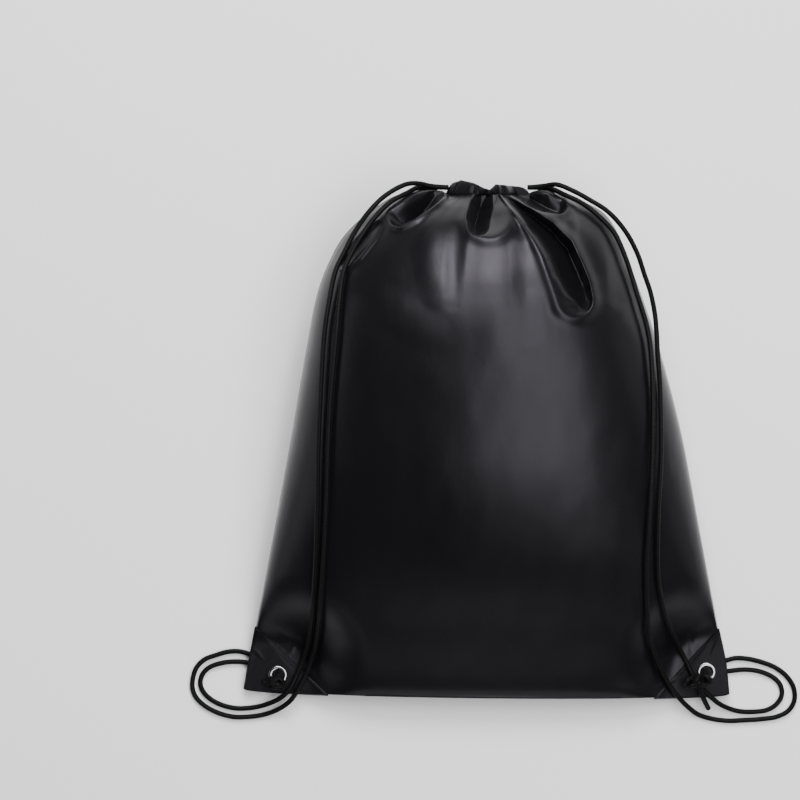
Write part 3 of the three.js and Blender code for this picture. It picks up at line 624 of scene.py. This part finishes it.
CORD_ROUTES = {
    "left_cord_a": [
        (-0.049, 0.22, 0.053), (-0.06, 0.222, 0.059), (-0.07, 0.221, 0.064), (-0.0873, 0.2115, 0.071),
        (-0.1011, 0.198, 0.077), (-0.1132, 0.181, 0.0785), (-0.1227, 0.163, 0.082), (-0.1305, 0.146, 0.086),
        (-0.1357, 0.1216, 0.0925), (-0.14, 0.0923, 0.0965), (-0.1435, 0.035, 0.0995),
        (-0.1452, -0.008, 0.098), (-0.146, -0.051, 0.092), (-0.147, -0.086, 0.0845),
        (-0.1482, -0.1134, 0.0755), (-0.1499, -0.1376, 0.063), (-0.153, -0.166, 0.034),
        (-0.1573, -0.185, 0.0185), (-0.1642, -0.2024, 0.0146), (-0.172, -0.217, 0.0144),
        (-0.179, -0.2235, 0.0125), (-0.1893, -0.2288, 0.0065), (-0.1996, -0.2318, 0.003),
        (-0.21, -0.2331, 0.0025), (-0.2204, -0.2327, 0.0025), (-0.2316, -0.2296, 0.0025),
        (-0.2407, -0.2245, 0.0025), (-0.2467, -0.218, 0.0025), (-0.2489, -0.2111, 0.0025),
        (-0.2472, -0.2038, 0.0025), (-0.242, -0.1981, 0.0025), (-0.2325, -0.1942, 0.0025),
        (-0.2204, -0.1925, 0.0025), (-0.2074, -0.1934, 0.0025), (-0.1962, -0.1973, 0.0025),
        (-0.1851, -0.2042, 0.0025),
    ],
    "left_cord_b": [
        (-0.05, 0.219, 0.045), (-0.06, 0.2185, 0.051), (-0.0685, 0.214, 0.0605), (-0.083, 0.206, 0.068),
        (-0.0959, 0.1934, 0.074), (-0.1072, 0.1778, 0.0815), (-0.1167, 0.1614, 0.086),
        (-0.1236, 0.145, 0.0925), (-0.127, 0.1216, 0.1), (-0.1296, 0.0923, 0.1055),
        (-0.1348, 0.0352, 0.1055), (-0.137, -0.008, 0.1025), (-0.1383, -0.0512, 0.0955),
        (-0.14, -0.0858, 0.087), (-0.1417, -0.1134, 0.078), (-0.1435, -0.1376, 0.066),
        (-0.1465, -0.1661, 0.039), (-0.1504, -0.1852, 0.021), (-0.1564, -0.2024, 0.0155),
        (-0.1642, -0.2171, 0.0148), (-0.171, -0.2265, 0.0125), (-0.1823, -0.2344, 0.0055),
        (-0.1944, -0.2387, 0.0026), (-0.2074, -0.2405, 0.0025), (-0.2204, -0.2405, 0.0025),
        (-0.2325, -0.2374, 0.0025), (-0.2437, -0.2318, 0.0025), (-0.2523, -0.224, 0.0025),
        (-0.2558, -0.2154, 0.0025), (-0.2554, -0.2067, 0.0025), (-0.2523, -0.1977, 0.0025),
        (-0.2454, -0.1908, 0.0025), (-0.2342, -0.1864, 0.0025), (-0.2238, -0.1837, 0.0025),
        (-0.2135, -0.1838, 0.0025), (-0.204, -0.1869, 0.0025), (-0.1936, -0.1934, 0.0025),
        (-0.1822, -0.2007, 0.0025),
    ],
    "right_cord_a": [
        (0.049, 0.22, 0.053), (0.06, 0.221, 0.0588), (0.073, 0.216, 0.0612), (0.0885, 0.2076, 0.0618),
        (0.104, 0.1975, 0.063), (0.1185, 0.1813, 0.063), (0.129, 0.1623, 0.0625), (0.1355, 0.1432, 0.0625),
        (0.1405, 0.1285, 0.063), (0.1443, 0.1095, 0.066), (0.1455, 0.095, 0.071), (0.1463, 0.075, 0.078),
        (0.148, 0.047, 0.0855), (0.1486, -0.008, 0.095), (0.146, -0.0685, 0.09), (0.1469, -0.1203, 0.073),
        (0.1504, -0.1376, 0.064), (0.156, -0.1558, 0.0455), (0.1633, -0.1722, 0.027),
        (0.1694, -0.1843, 0.018), (0.176, -0.1974, 0.0146), (0.1815, -0.2085, 0.0146),
        (0.1885, -0.217, 0.015), (0.1945, -0.2225, 0.014), (0.2022, -0.2288, 0.0085),
        (0.21, -0.2327, 0.0045), (0.2204, -0.2357, 0.0026), (0.2333, -0.2361, 0.0025),
        (0.2446, -0.2344, 0.0025), (0.2523, -0.2296, 0.0025), (0.2571, -0.2214, 0.0025),
        (0.2558, -0.2128, 0.0025), (0.2498, -0.2063, 0.0025), (0.2385, -0.2012, 0.0025),
        (0.2256, -0.1994, 0.0025), (0.2117, -0.2006, 0.0025), (0.1944, -0.203, 0.0025),
    ],
    "right_cord_b": [
        (0.049, 0.2185, 0.045), (0.0575, 0.217, 0.05), (0.066, 0.2125, 0.0605), (0.0804, 0.2055, 0.065),
        (0.0959, 0.1934, 0.072), (0.108, 0.1804, 0.074), (0.1141, 0.1692, 0.075), (0.1193, 0.1562, 0.076),
        (0.1236, 0.1432, 0.0765), (0.127, 0.1311, 0.079), (0.1322, 0.1147, 0.0815), (0.1365, 0.1, 0.0835),
        (0.1395, 0.0827, 0.0865), (0.1414, 0.0473, 0.0935), (0.141, -0.008, 0.0995),
        (0.1383, -0.0685, 0.094), (0.1365, -0.1031, 0.084), (0.1374, -0.1376, 0.068),
        (0.14, -0.1661, 0.0475), (0.1443, -0.1826, 0.033), (0.1512, -0.199, 0.022), (0.159, -0.2128, 0.018),
        (0.1668, -0.223, 0.0158), (0.174, -0.2305, 0.0098), (0.184, -0.2383, 0.0036),
        (0.1962, -0.2422, 0.0025), (0.2091, -0.2439, 0.0025), (0.2238, -0.2435, 0.0025),
        (0.2385, -0.2426, 0.0025), (0.2523, -0.2405, 0.0025), (0.2627, -0.2353, 0.0025),
        (0.2679, -0.2266, 0.0025), (0.2675, -0.2154, 0.0025), (0.2619, -0.2059, 0.0025),
        (0.2523, -0.1981, 0.0025), (0.2411, -0.1934, 0.0025), (0.229, -0.1903, 0.0025),
        (0.2169, -0.1895, 0.0025), (0.2048, -0.1929, 0.0025), (0.1931, -0.1982, 0.0025),
    ],
}


def spline(points, step):
    """Centripetal curve through the points, sampled about every step."""
    points = np.asarray(points, float)
    ends = np.vstack([2 * points[0] - points[1], points, 2 * points[-1] - points[-2]])
    found = []
    for i in range(1, len(ends) - 2):
        before, start, end, after = ends[i - 1:i + 3]
        gaps = [np.linalg.norm(b - a) ** 0.5 for a, b in ((before, start), (start, end), (end, after))]
        leave = (start - before) / gaps[0] - (end - before) / (gaps[0] + gaps[1]) + (end - start) / gaps[1]
        arrive = (end - start) / gaps[1] - (after - start) / (gaps[1] + gaps[2]) + (after - end) / gaps[2]
        leave, arrive = leave * gaps[1], arrive * gaps[1]
        count = max(2, round(np.linalg.norm(end - start) / step))
        for share in np.arange(count) / count:
            square, cube = share ** 2, share ** 3
            found.append(
                start * (2 * cube - 3 * square + 1) + leave * (cube - 2 * square + share)
                + end * (3 * square - 2 * cube) + arrive * (cube - square)
            )
    found.append(points[-1])
    return np.array(found)


def travel(path):
    """Distance along the path to each of its points."""
    return np.concatenate([[0], np.cumsum(np.linalg.norm(np.diff(path, axis=0), axis=1))])


def tube(name, path):
    """Braided cord: a closed tube along a path, with the braid's diamonds raised on it."""
    SIDES, RELIEF, START_SIDE = 20, 0.05 * MM, (0.3, 0.5, 0.8)
    path = np.asarray(path)
    ahead = unit(np.gradient(path, axis=0))
    side = np.cross(ahead[0], START_SIDE)
    travelled = travel(path)
    turns = 2 * math.pi * np.arange(SIDES) / SIDES
    rings = []
    for i, point in enumerate(path):
        side = unit(side - ahead[i] * np.dot(side, ahead[i]))
        other = np.cross(ahead[i], side)
        phase = math.pi * travelled[i] / BRAID_PITCH
        around = turns * BRAID_STRANDS / 2
        relief = RELIEF * np.sin(around + phase) * np.sin(around - phase)
        reach = (CORD_RADIUS - RELIEF + relief)[:, None]
        rings.append(point + reach * (np.cos(turns)[:, None] * side + np.sin(turns)[:, None] * other))
    count = len(path)
    vertices = np.vstack(rings + [path[:1], path[-1:]])
    faces = grid_faces(count, SIDES, around=True)
    last = (count - 1) * SIDES
    for j in range(SIDES):
        k = (j + 1) % SIDES
        faces.append((count * SIDES, k, j))
        faces.append((count * SIDES + 1, last + j, last + k))
    obj = mesh_object(name, vertices, faces, BRAID)
    uv = obj.data.uv_layers.new(name="braid")
    coordinates = []
    for polygon in obj.data.polygons:
        corners = [obj.data.loops[loop].vertex_index for loop in polygon.loop_indices]
        shares = [(corner % SIDES) / SIDES for corner in corners]
        wraps = max(shares) - min(shares) > 0.5
        for corner, share in zip(corners, shares):
            ring = min(corner // SIDES, count - 1)
            coordinates += [share + 1 if wraps and share < 0.5 else share, travelled[ring]]
    uv.data.foreach_set("uv", coordinates)
    return obj


def socket_start(side, level):
    """The first two points of a strand: inside its socket in the casing, and at the socket's mouth."""
    SOCKET_DEPTH, SOCKET_SPACING = 3 * MM, 6.4 * MM
    section = section_at(0.0)
    edge = section["right"] if side > 0 else section["left"]
    face = float(edge) + side * (CASING_WALL - CLOTH) / 2
    middle = (float(section["middle"]) + GAP + BAG_LENGTH / 2) / 2
    height = float(section["seam"]) + level * SOCKET_SPACING / 2
    start = np.array([face - side * (SOCKET_DEPTH - GAP), middle, height])
    return start, start + np.array([side * SOCKET_DEPTH, 0, 0])


CORD_STEP = 1.1 * MM


def make_cord(name):
    side = CORNERS[name.split("_")[0]]["side"]
    level = 1 if name.endswith("a") else -1
    route = [*socket_start(side, level), *np.array(CORD_ROUTES[name])]
    path = spline(route, CORD_STEP)
    cord = tube(f"{name}_braid", path)
    return cord, path


cords = {name: make_cord(name) for name in CORD_ROUTES}


# Panels

FRONT_ROWS, FRONT_COLUMNS = 240, 200
BACK_ROWS, BACK_COLUMNS = 110, 120


def row_positions(count):
    """Rows close together over the gathers and further apart below them."""
    GATHER_END, GATHER_ROWS = 6.2, 0.68
    share = np.linspace(0, 1, count)
    upper = GATHER_END * share / GATHER_ROWS
    lower = lerp(GATHER_END, LAST_SECTION, (share - GATHER_ROWS) / (1 - GATHER_ROWS))
    return np.where(share < GATHER_ROWS, upper, lower)


def column_places(count):
    """Columns from seam to seam, a little closer together over the middle."""
    share = np.linspace(-1, 1, count)
    return (share + np.arcsin(share) * 2 / math.pi) / 2


def normals_of(points):
    along = np.gradient(points, axis=0)
    over = np.gradient(points, axis=1)
    return unit(np.cross(along, over))


def make_panel(name, node, surface, rows, columns, up):
    """Cloth wall between the side seams, from the casing to the bottom seam."""
    position, across = np.meshgrid(row_positions(rows), column_places(columns), indexing="ij")
    outer = surface(position, across)
    inner = outer - normals_of(outer) * up * CLOTH
    seam = seam_points(position, across)[..., 2] + up * GAP / 2
    edge = np.zeros((rows, columns), bool)
    edge[-1, :] = edge[:, 0] = edge[:, -1] = True
    outer[..., 2] = np.where(edge, seam, outer[..., 2])
    inner[..., 2] = np.where(edge, seam, inner[..., 2])
    inner[..., 2] = np.maximum(inner[..., 2], seam) if up > 0 else np.minimum(inner[..., 2], seam)
    vertices = np.vstack([outer.reshape(-1, 3), inner.reshape(-1, 3)])
    shift = rows * columns
    skin = grid_faces(rows, columns)
    lining = [tuple(shift + corner for corner in reversed(face)) for face in skin]
    ring = list(range(columns - 1))
    ring += [i * columns + columns - 1 for i in range(rows - 1)]
    ring += [(rows - 1) * columns + j for j in range(columns - 1, 0, -1)]
    ring += [i * columns for i in range(rows - 1, 0, -1)]
    edges = [(b, a, shift + a, shift + b) for a, b in zip(ring, ring[1:] + ring[:1])]
    faces = skin + lining + edges
    if up > 0:
        faces = [tuple(reversed(face)) for face in faces]
    panel = mesh_object(name, vertices, faces, SATIN)
    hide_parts(node)
    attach(panel, "root")
    return panel


front = make_panel("front_cloth", "front_panel", front_points, FRONT_ROWS, FRONT_COLUMNS, 1)
back = make_panel("back_cloth", "back_panel", back_points, BACK_ROWS, BACK_COLUMNS, -1)


# Gathered casing round the mouth

CASING_TURNS = 420
CASING_PLEATS = 23
CASING_PROFILE = [
    (-0.8, 0.0), (-1.0, 0.1), (-1.0, 0.3), (-0.95, 0.6), (-0.95, 0.86), (-0.8, 0.96), (-0.5, 1.0),
    (-0.2, 0.97), (0.1, 0.88), (0.38, 0.7), (0.6, 0.5), (0.8, 0.3), (0.95, 0.1), (1.0, -0.12),
    (0.88, -0.16), (0, 0.0),
]
# The rim's height along the bag at points across it, both in metres from the middle of the bag
RIM_ACROSS = [-0.04, -0.034, -0.0225, -0.012, -0.003, 0.0026, 0.007, 0.016, 0.028, 0.034, 0.04]
RIM_ALONG = [0.2165, 0.2215, 0.225, 0.2225, 0.2185, 0.2168, 0.2212, 0.2207, 0.2196, 0.218, 0.215]


def mouth_loop(turn):
    """Loop on which the casing sits, once round the mouth from the left seam."""
    on_front = turn < math.pi
    share = (turn % math.pi) / math.pi
    across = np.array(2 * share - 1 if on_front else 1 - 2 * share)
    row = np.array(0.0)
    return front_points(row, across) if on_front else back_points(row, across)


def make_casing():
    """Gathered hem: a closed ring of cloth round the mouth."""
    PLEAT_DEPTH, RIM_PLEAT, ROOT_SHARE, FLUSH = 0.1 * MM, 0.08 * MM, 0.4, 3.3 * MM
    MEAN, DRIFT, UNEVEN = 0.6, [(1, 2, 0.7), (0.7, 5, 2)], [(0.4, 4, 1)]
    section = section_at(0.0)
    centre = np.array([float(section["left"] + section["right"]) / 2, 0, float(section["seam"])])
    vertices = []
    for i in range(CASING_TURNS):
        turn = 2 * math.pi * i / CASING_TURNS
        point = mouth_loop(turn)
        out = point - centre
        out[1] = 0
        out = unit(out)
        pleat = math.cos(CASING_PLEATS * turn + waves(turn, DRIFT)) * (MEAN + waves(turn, UNEVEN))
        sink = FLUSH * abs(math.sin(turn))
        for across, along in CASING_PROFILE:
            reach = across * CASING_WALL / 2 + pleat * PLEAT_DEPTH * lerp(ROOT_SHARE, 1, along) * abs(across)
            place = point + out * (reach - sink - CLOTH / 2)
            rim = float(np.interp(place[0], RIM_ACROSS, RIM_ALONG)) - RIM_PLEAT * (1 - pleat)
            place[1] = lerp(point[1] + GAP, rim, along)
            vertices.append(place)
    faces = grid_faces(CASING_TURNS, len(CASING_PROFILE), around=True, closed=True)
    # The casing takes the duller second satin as painted shade, so the hem reads darker than the cloth just
    # below it
    casing = mesh_object("casing_cloth", vertices, faces, PATCH_AND_HEM_SHADE_SATIN)
    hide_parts("drawstring_casing")
    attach(casing, "root")


make_casing()


# Corner patches


def patch_line(corner):
    """Two plan points of the patch's slanting edge: on the bottom seam and on the side seam."""
    edge = corner["side"] * BAG_WIDTH / 2
    low = -BAG_LENGTH / 2
    inner = np.array([edge - corner["side"] * corner["patch_in"] * BAG_WIDTH, low])
    upper = np.array([edge, low + corner["patch_up"] * BAG_LENGTH])
    return inner, upper


def beyond_line(corner, position, across):
    """Plan distance past the slanting edge, positive on the patch's side of it."""
    inner, upper = patch_line(corner)
    run = unit(upper - inner)
    place = plan(section_at(position), across)
    offset_x, offset_y = place["x"] - inner[0], place["y"] - inner[1]
    return corner["side"] * (offset_x * run[1] - offset_y * run[0])


def slant_across(corner, position, inset=0.0):
    """Where each row meets the slanting edge, by halving."""
    low = np.zeros(np.shape(position))
    high = np.full(np.shape(position), float(corner["side"]))
    for _ in range(HALVINGS):
        middle = (low + high) / 2
        inside = beyond_line(corner, position, middle) > inset
        high = np.where(inside, middle, high)
        low = np.where(inside, low, middle)
    return (low + high) / 2


def first_row(corner):
    """Position at which the side seam enters the patch."""
    low, high = 0.0, float(LAST_SECTION)
    for _ in range(HALVINGS):
        middle = (low + high) / 2
        if beyond_line(corner, np.array(middle), np.array(float(corner["side"]))) > 0:
            high = middle
        else:
            low = middle
    return high


def raised(surface, position, across, up, height):
    """Surface point moved out along the cloth's normal."""
    STEP = 0.01
    below, above = np.minimum(position + STEP, LAST_SECTION), np.maximum(position - STEP, 0)
    along = surface(below, across) - surface(above, across)
    over = surface(position, np.minimum(across + STEP, 1)) - surface(position, np.maximum(across - STEP, -1))
    normal = unit(np.cross(along, over))
    normal *= np.where(normal[..., 2] * up < 0, -1, 1)[..., None]
    return surface(position, across) + normal * np.asarray(height)[..., None]


def patch_skin(surface, up, position, across, side, lift):
    """One skin of a patch, turned over the side seam and the bottom seam at its edges."""
    reach = float(np.max(lift))
    skin = raised(surface, position, across, up, lift)
    seam = seam_points(position, across)
    skin[:, -1] = seam[:, -1] + np.array([side * reach, 0, up * GAP / 2])
    skin[-1, :, 1] = seam[-1, :, 1] - reach
    skin[-1, :, 2] = seam[-1, :, 2] + up * GAP / 2
    return skin


def strip(one, two):
    """Quads between two rows of corners."""
    return [(one[k], one[k + 1], two[k + 1], two[k]) for k in range(len(one) - 1)]


def make_patch(corner_name):
    """Cloth folded round the corner: a closed wall with an outer and an inner skin on each face."""
    ROWS, COLUMNS, EDGE_COLUMNS = 90, 90, 9
    EDGE_LIFT, TIP, CROWDING = 0.25, 0.001, 0.8
    corner = CORNERS[corner_name]
    side = corner["side"]
    rows = lerp(first_row(corner) + TIP, LAST_SECTION, np.linspace(0, 1, ROWS))
    start = slant_across(corner, rows)
    ease = np.linspace(0, 1, COLUMNS) ** CROWDING
    position = np.repeat(rows[:, None], COLUMNS, 1)
    across = start[:, None] + (side - start[:, None]) * ease
    edge_fade = smoothstep(0, 1, np.arange(COLUMNS) / EDGE_COLUMNS) * np.ones(across.shape)
    outside = lerp(GAP, GAP + PATCH_CLOTH, lerp(EDGE_LIFT, 1, edge_fade))
    inside = np.full(across.shape, GAP / 3)
    skins = [
        patch_skin(surface, up, position, across, side, lift)
        for surface, up in ((front_points, 1), (back_points, -1)) for lift in (outside, inside)
    ]
    count = ROWS * COLUMNS
    grids = [np.arange(count).reshape(ROWS, COLUMNS) + k * count for k in range(len(skins))]
    front_out, front_in, back_out, back_in = grids
    faces = []
    for grid in (front_in, back_out):
        faces += grid_faces(ROWS, COLUMNS, grid[0, 0])
    for grid in (front_out, back_in):
        faces += [tuple(reversed(face)) for face in grid_faces(ROWS, COLUMNS, grid[0, 0])]
    faces += strip(front_in[:, 0], front_out[:, 0]) + strip(back_out[:, 0], back_in[:, 0])
    faces += strip(front_out[0], front_in[0]) + strip(back_in[0], back_out[0])
    faces += strip(front_out[:, -1], back_out[:, -1]) + strip(back_in[:, -1], front_in[:, -1])
    faces += strip(back_out[-1], front_out[-1]) + strip(front_in[-1], back_in[-1])
    faces.append((front_out[0, -1], back_out[0, -1], back_in[0, -1], front_in[0, -1]))
    faces.append((front_out[-1, 0], front_in[-1, 0], back_in[-1, 0], back_out[-1, 0]))
    faces = [tuple(int(point) for point in (face if side > 0 else reversed(face))) for face in faces]
    vertices = np.concatenate([skin.reshape(-1, 3) for skin in skins])
    patch = mesh_object(f"{corner_name}_patch_cloth", vertices, faces, PATCH_AND_HEM_SHADE_SATIN)
    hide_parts(f"{corner_name}_corner_patch")
    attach(patch, "root")


for corner_name in CORNERS:
    make_patch(corner_name)


# Stitches


def make_stitches(name, path, normals):
    """A row of short threads sunk into the cloth along a path."""
    LENGTH, SKIP, RADIUS, BULGE, SUNK = 2.6 * MM, 1.0 * MM, 0.22 * MM, 1.4, 0.5
    travelled = travel(path)
    vertices, faces = [], []
    STEPS, SIDES = 6, 6
    count = int(travelled[-1] // (LENGTH + SKIP))
    for stitch in range(count):
        start = stitch * (LENGTH + SKIP)
        shares = np.linspace(0, 1, STEPS)
        places = start + shares * LENGTH
        points = np.stack([np.interp(places, travelled, path[:, axis]) for axis in range(3)], -1)
        outward = np.stack([np.interp(places, travelled, normals[:, axis]) for axis in range(3)], -1)
        points = points + outward * (np.sin(math.pi * shares)[:, None] * BULGE * RADIUS - SUNK * RADIUS)
        ahead = unit(np.gradient(points, axis=0))
        first = len(vertices)
        for i in range(STEPS):
            side = unit(np.cross(ahead[i], outward[i]))
            for turn in 2 * math.pi * np.arange(SIDES) / SIDES:
                vertices.append(points[i] + RADIUS * (math.cos(turn) * side + math.sin(turn) * outward[i]))
        faces += turned_over(grid_faces(STEPS, SIDES, first, around=True))
        faces.append(tuple(range(first, first + SIDES)))
        faces.append(tuple(reversed(range(first + (STEPS - 1) * SIDES, first + STEPS * SIDES))))
    row = mesh_object(name, vertices, faces, THREAD)
    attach(row, "root")


def patch_stitches(corner_name):
    """A row of stitches along the patch's slanting edge on each face."""
    POINTS, INSET, TOP_MARGIN, BOTTOM_MARGIN = 160, 3 * MM, 0.06, 0.05
    corner = CORNERS[corner_name]
    low = first_row(corner) + TOP_MARGIN
    for surface, up, face in ((front_points, 1, "front"), (back_points, -1, "back")):
        rows = np.linspace(low, LAST_SECTION - BOTTOM_MARGIN, POINTS)
        across = slant_across(corner, rows, INSET)
        height = GAP + PATCH_CLOTH
        path = raised(surface, rows, across, up, np.full(POINTS, height))
        normals = raised(surface, rows, across, up, np.ones(POINTS)) - surface(rows, across)
        make_stitches(f"{corner_name}_patch_stitches_{face}", path, normals)


for corner_name in CORNERS:
    patch_stitches(corner_name)


# Eyelets


def make_eyelet(corner_name):
    """Metal ring through the layers, with a rounded flange on each face."""
    SIDES, ARC, UNDERCUT, FULLNESS = 72, 16, 0.3 * MM, 0.7
    x, y = corner_centre(CORNERS[corner_name])
    bore, outside = EYELET_BORE / 2, EYELET_OUTSIDE / 2
    middle, half = (outside + bore) / 2, (outside - bore) / 2
    upper = [(outside - UNDERCUT, GRIP)]
    for i in range(ARC + 1):
        turn = math.pi * i / ARC
        upper.append((middle + half * math.cos(turn), GRIP + FLANGE * math.sin(turn) ** FULLNESS))
    lower = [(radius, -height) for radius, height in reversed(upper)]
    profile = upper + lower
    vertices = []
    for i in range(SIDES):
        turn = 2 * math.pi * i / SIDES
        vertices += [(x + r * math.cos(turn), y + r * math.sin(turn), CORNER_HEIGHT + z) for r, z in profile]
    faces = turned_over(grid_faces(SIDES, len(profile), around=True, closed=True))
    ring = mesh_object(f"{corner_name}_eyelet_ring", vertices, faces, NICKEL)
    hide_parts(f"{corner_name}_eyelet")
    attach(ring, "root")


for corner_name in CORNERS:
    make_eyelet(corner_name)


# Stopper knots over the eyelets

EYELET_TOP = CORNER_HEIGHT + GRIP + FLANGE
# shank is the direction in plan of the two strands in the bore; each turn is (x, y, height, tilt, roll)
KNOTS = {
    "left": {
        "shank": (0.54, 0.84), "centre": (-0.182, -0.2105, 0.0062),
        "turns": [(0.001, 0, 0, 0.5, 0.2), (0, 0.0006, 0.0008, -0.9, 0.5), (-0.0036, 0, -0.0006, 0.4, -0.8)],
        "tail": [(-0.184, -0.21, 0.018), (-0.189, -0.2106, 0.0164), (-0.194, -0.2104, 0.0152)],
    },
    "right": {
        "shank": (-0.25, 0.97), "centre": (0.187, -0.2078, 0.0105),
        "turns": [
            (0.0034, 0.0004, -0.0006, 0.9, -0.4), (0.0006, -0.0016, 0.0006, -0.8, 0.3),
            (-0.0036, -0.0008, 0, 0.4, 0.9), (-0.0085, -0.0014, -0.0004, -0.5, -0.8),
            (-0.0115, -0.0022, 0, 0.7, 0.5),
        ],
        "tail": [
            (0.184, -0.21, 0.023), (0.186, -0.219, 0.021), (0.19, -0.2275, 0.015), (0.193, -0.233, 0.009),
        ],
    },
}
KNOT_RING = 0.0041
KNOT_STEP = 0.7 * MM


def turned_ring(x, y, height, tilt, roll):
    """Points of one turn of cord about a tilted axis."""
    POINTS, WAVE, WAVES = 49, 0.7 * MM, 3
    turn = np.linspace(0, 2 * math.pi, POINTS)
    ring = np.stack([KNOT_RING * np.cos(turn), KNOT_RING * np.sin(turn), WAVE * np.sin(WAVES * turn)], -1)
    return ring @ np.array(Euler((tilt, roll, 0)).to_matrix()).T + np.array([x, y, height])


def make_knot(corner_name):
    """Turns of cord over the eyelet, the two strands in its bore and the cut end, as one piece."""
    STRAIGHT, CLEAR, BEND, DROP = 8 * MM, 1 * MM, 0.6, 2 * MM
    form = KNOTS[corner_name]
    x, y = corner_centre(CORNERS[corner_name])
    middle = np.array([form["centre"][0], form["centre"][1], EYELET_TOP + form["centre"][2]])
    inset = EYELET_BORE / 2 - CORD_RADIUS - 2 * GAP
    pieces = [tube("turn", middle + turned_ring(*turn)) for turn in form["turns"]]
    for way in (-1, 1):
        foot = np.array([x + way * inset * form["shank"][0], y + way * inset * form["shank"][1], GAP])
        bend = lerp(foot, middle, BEND)
        bend[2] = middle[2] - DROP
        rise = [foot, foot + (0, 0, STRAIGHT), (foot[0], foot[1], EYELET_TOP + CLEAR), bend, middle]
        pieces.append(tube("strand", spline(rise, KNOT_STEP)))
    pieces.append(tube("tail", spline(form["tail"], KNOT_STEP)))
    knot = pieces[0]
    chosen = {"active_object": knot, "selected_editable_objects": pieces, "selected_objects": pieces}
    with bpy.context.temp_override(**chosen):
        bpy.ops.object.join()
    knot.name = f"{corner_name}_knot_braid"
    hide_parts(f"{corner_name}_knot")
    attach(knot, "root")
    return knot


knots = {name: make_knot(name) for name in CORNERS}

for name, (cord, path) in cords.items():
    corner_name = name.split("_")[0]
    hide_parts(name)
    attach(cord, "root")


# Floor and light


def make_floor():
    HALF = 3.0
    nodes = Nodes("floor")
    roughness = nodes.blend(nodes.noise(nodes.place, 30, 2), 0.5, 0.6)
    nodes.set(Roughness=roughness, Base_Color=(0.9, 0.9, 0.9, 1), Specular_IOR_Level=0.2)
    corners = [(-HALF, -HALF, 0), (HALF, -HALF, 0), (HALF, HALF, 0), (-HALF, HALF, 0)]
    floor = mesh_object("floor", corners, [(0, 1, 2, 3)], nodes.material)


make_floor()

LIGHT_DISTANCE = 2.6
LIGHT_TARGET = (0, 0, 0.08)
# Direction in plan, lowest and highest angle from the vertical, length and radiance of each soft panel
PANEL_LIGHTS = {
    "right_panel": ((1, -0.25), 4, 36, 3.0, 5),
    "mouth_high": ((0.04, 1), 10, 32, 1.5, 3.6),
    "mouth_middle": ((0.04, 1), 32, 56, 1.3, 17),
    "mouth_low": ((0, 1), 58, 78, 1.6, 2),
    "left_panel": ((-1, 0), 64, 84, 2.2, 1.5),
    "right_low": ((1, 0), 68, 84, 2.2, 1.0),
    "bottom_panel": ((0, -1), 68, 84, 2.4, 1.6),
}


def panel_light(name, side, low, high, length, radiance):
    middle, spread = math.radians((low + high) / 2), math.radians(high - low)
    away = LIGHT_DISTANCE * math.sin(middle)
    location = Vector((away * side[0], away * side[1], LIGHT_DISTANCE * math.cos(middle)))
    data = bpy.data.lights.new(name, "AREA")
    data.shape = "RECTANGLE"
    data.size, data.size_y = length, 2 * LIGHT_DISTANCE * math.tan(spread / 2)
    data.energy = radiance * math.pi * data.size * data.size_y
    light = bpy.data.objects.new(name, data)
    light.location = location
    light.rotation_euler = (Vector(LIGHT_TARGET) - location).to_track_quat("-Z", "Y").to_euler()
    bpy.context.scene.collection.objects.link(light)


for name, settings in PANEL_LIGHTS.items():
    panel_light(name, *settings)

world = bpy.data.worlds.new("studio")
world.use_nodes = True
background = world.node_tree.nodes["Background"]
background.inputs["Color"].default_value = (0.9, 0.93, 1.0, 1)
background.inputs["Strength"].default_value = 0.1
bpy.context.scene.world = world
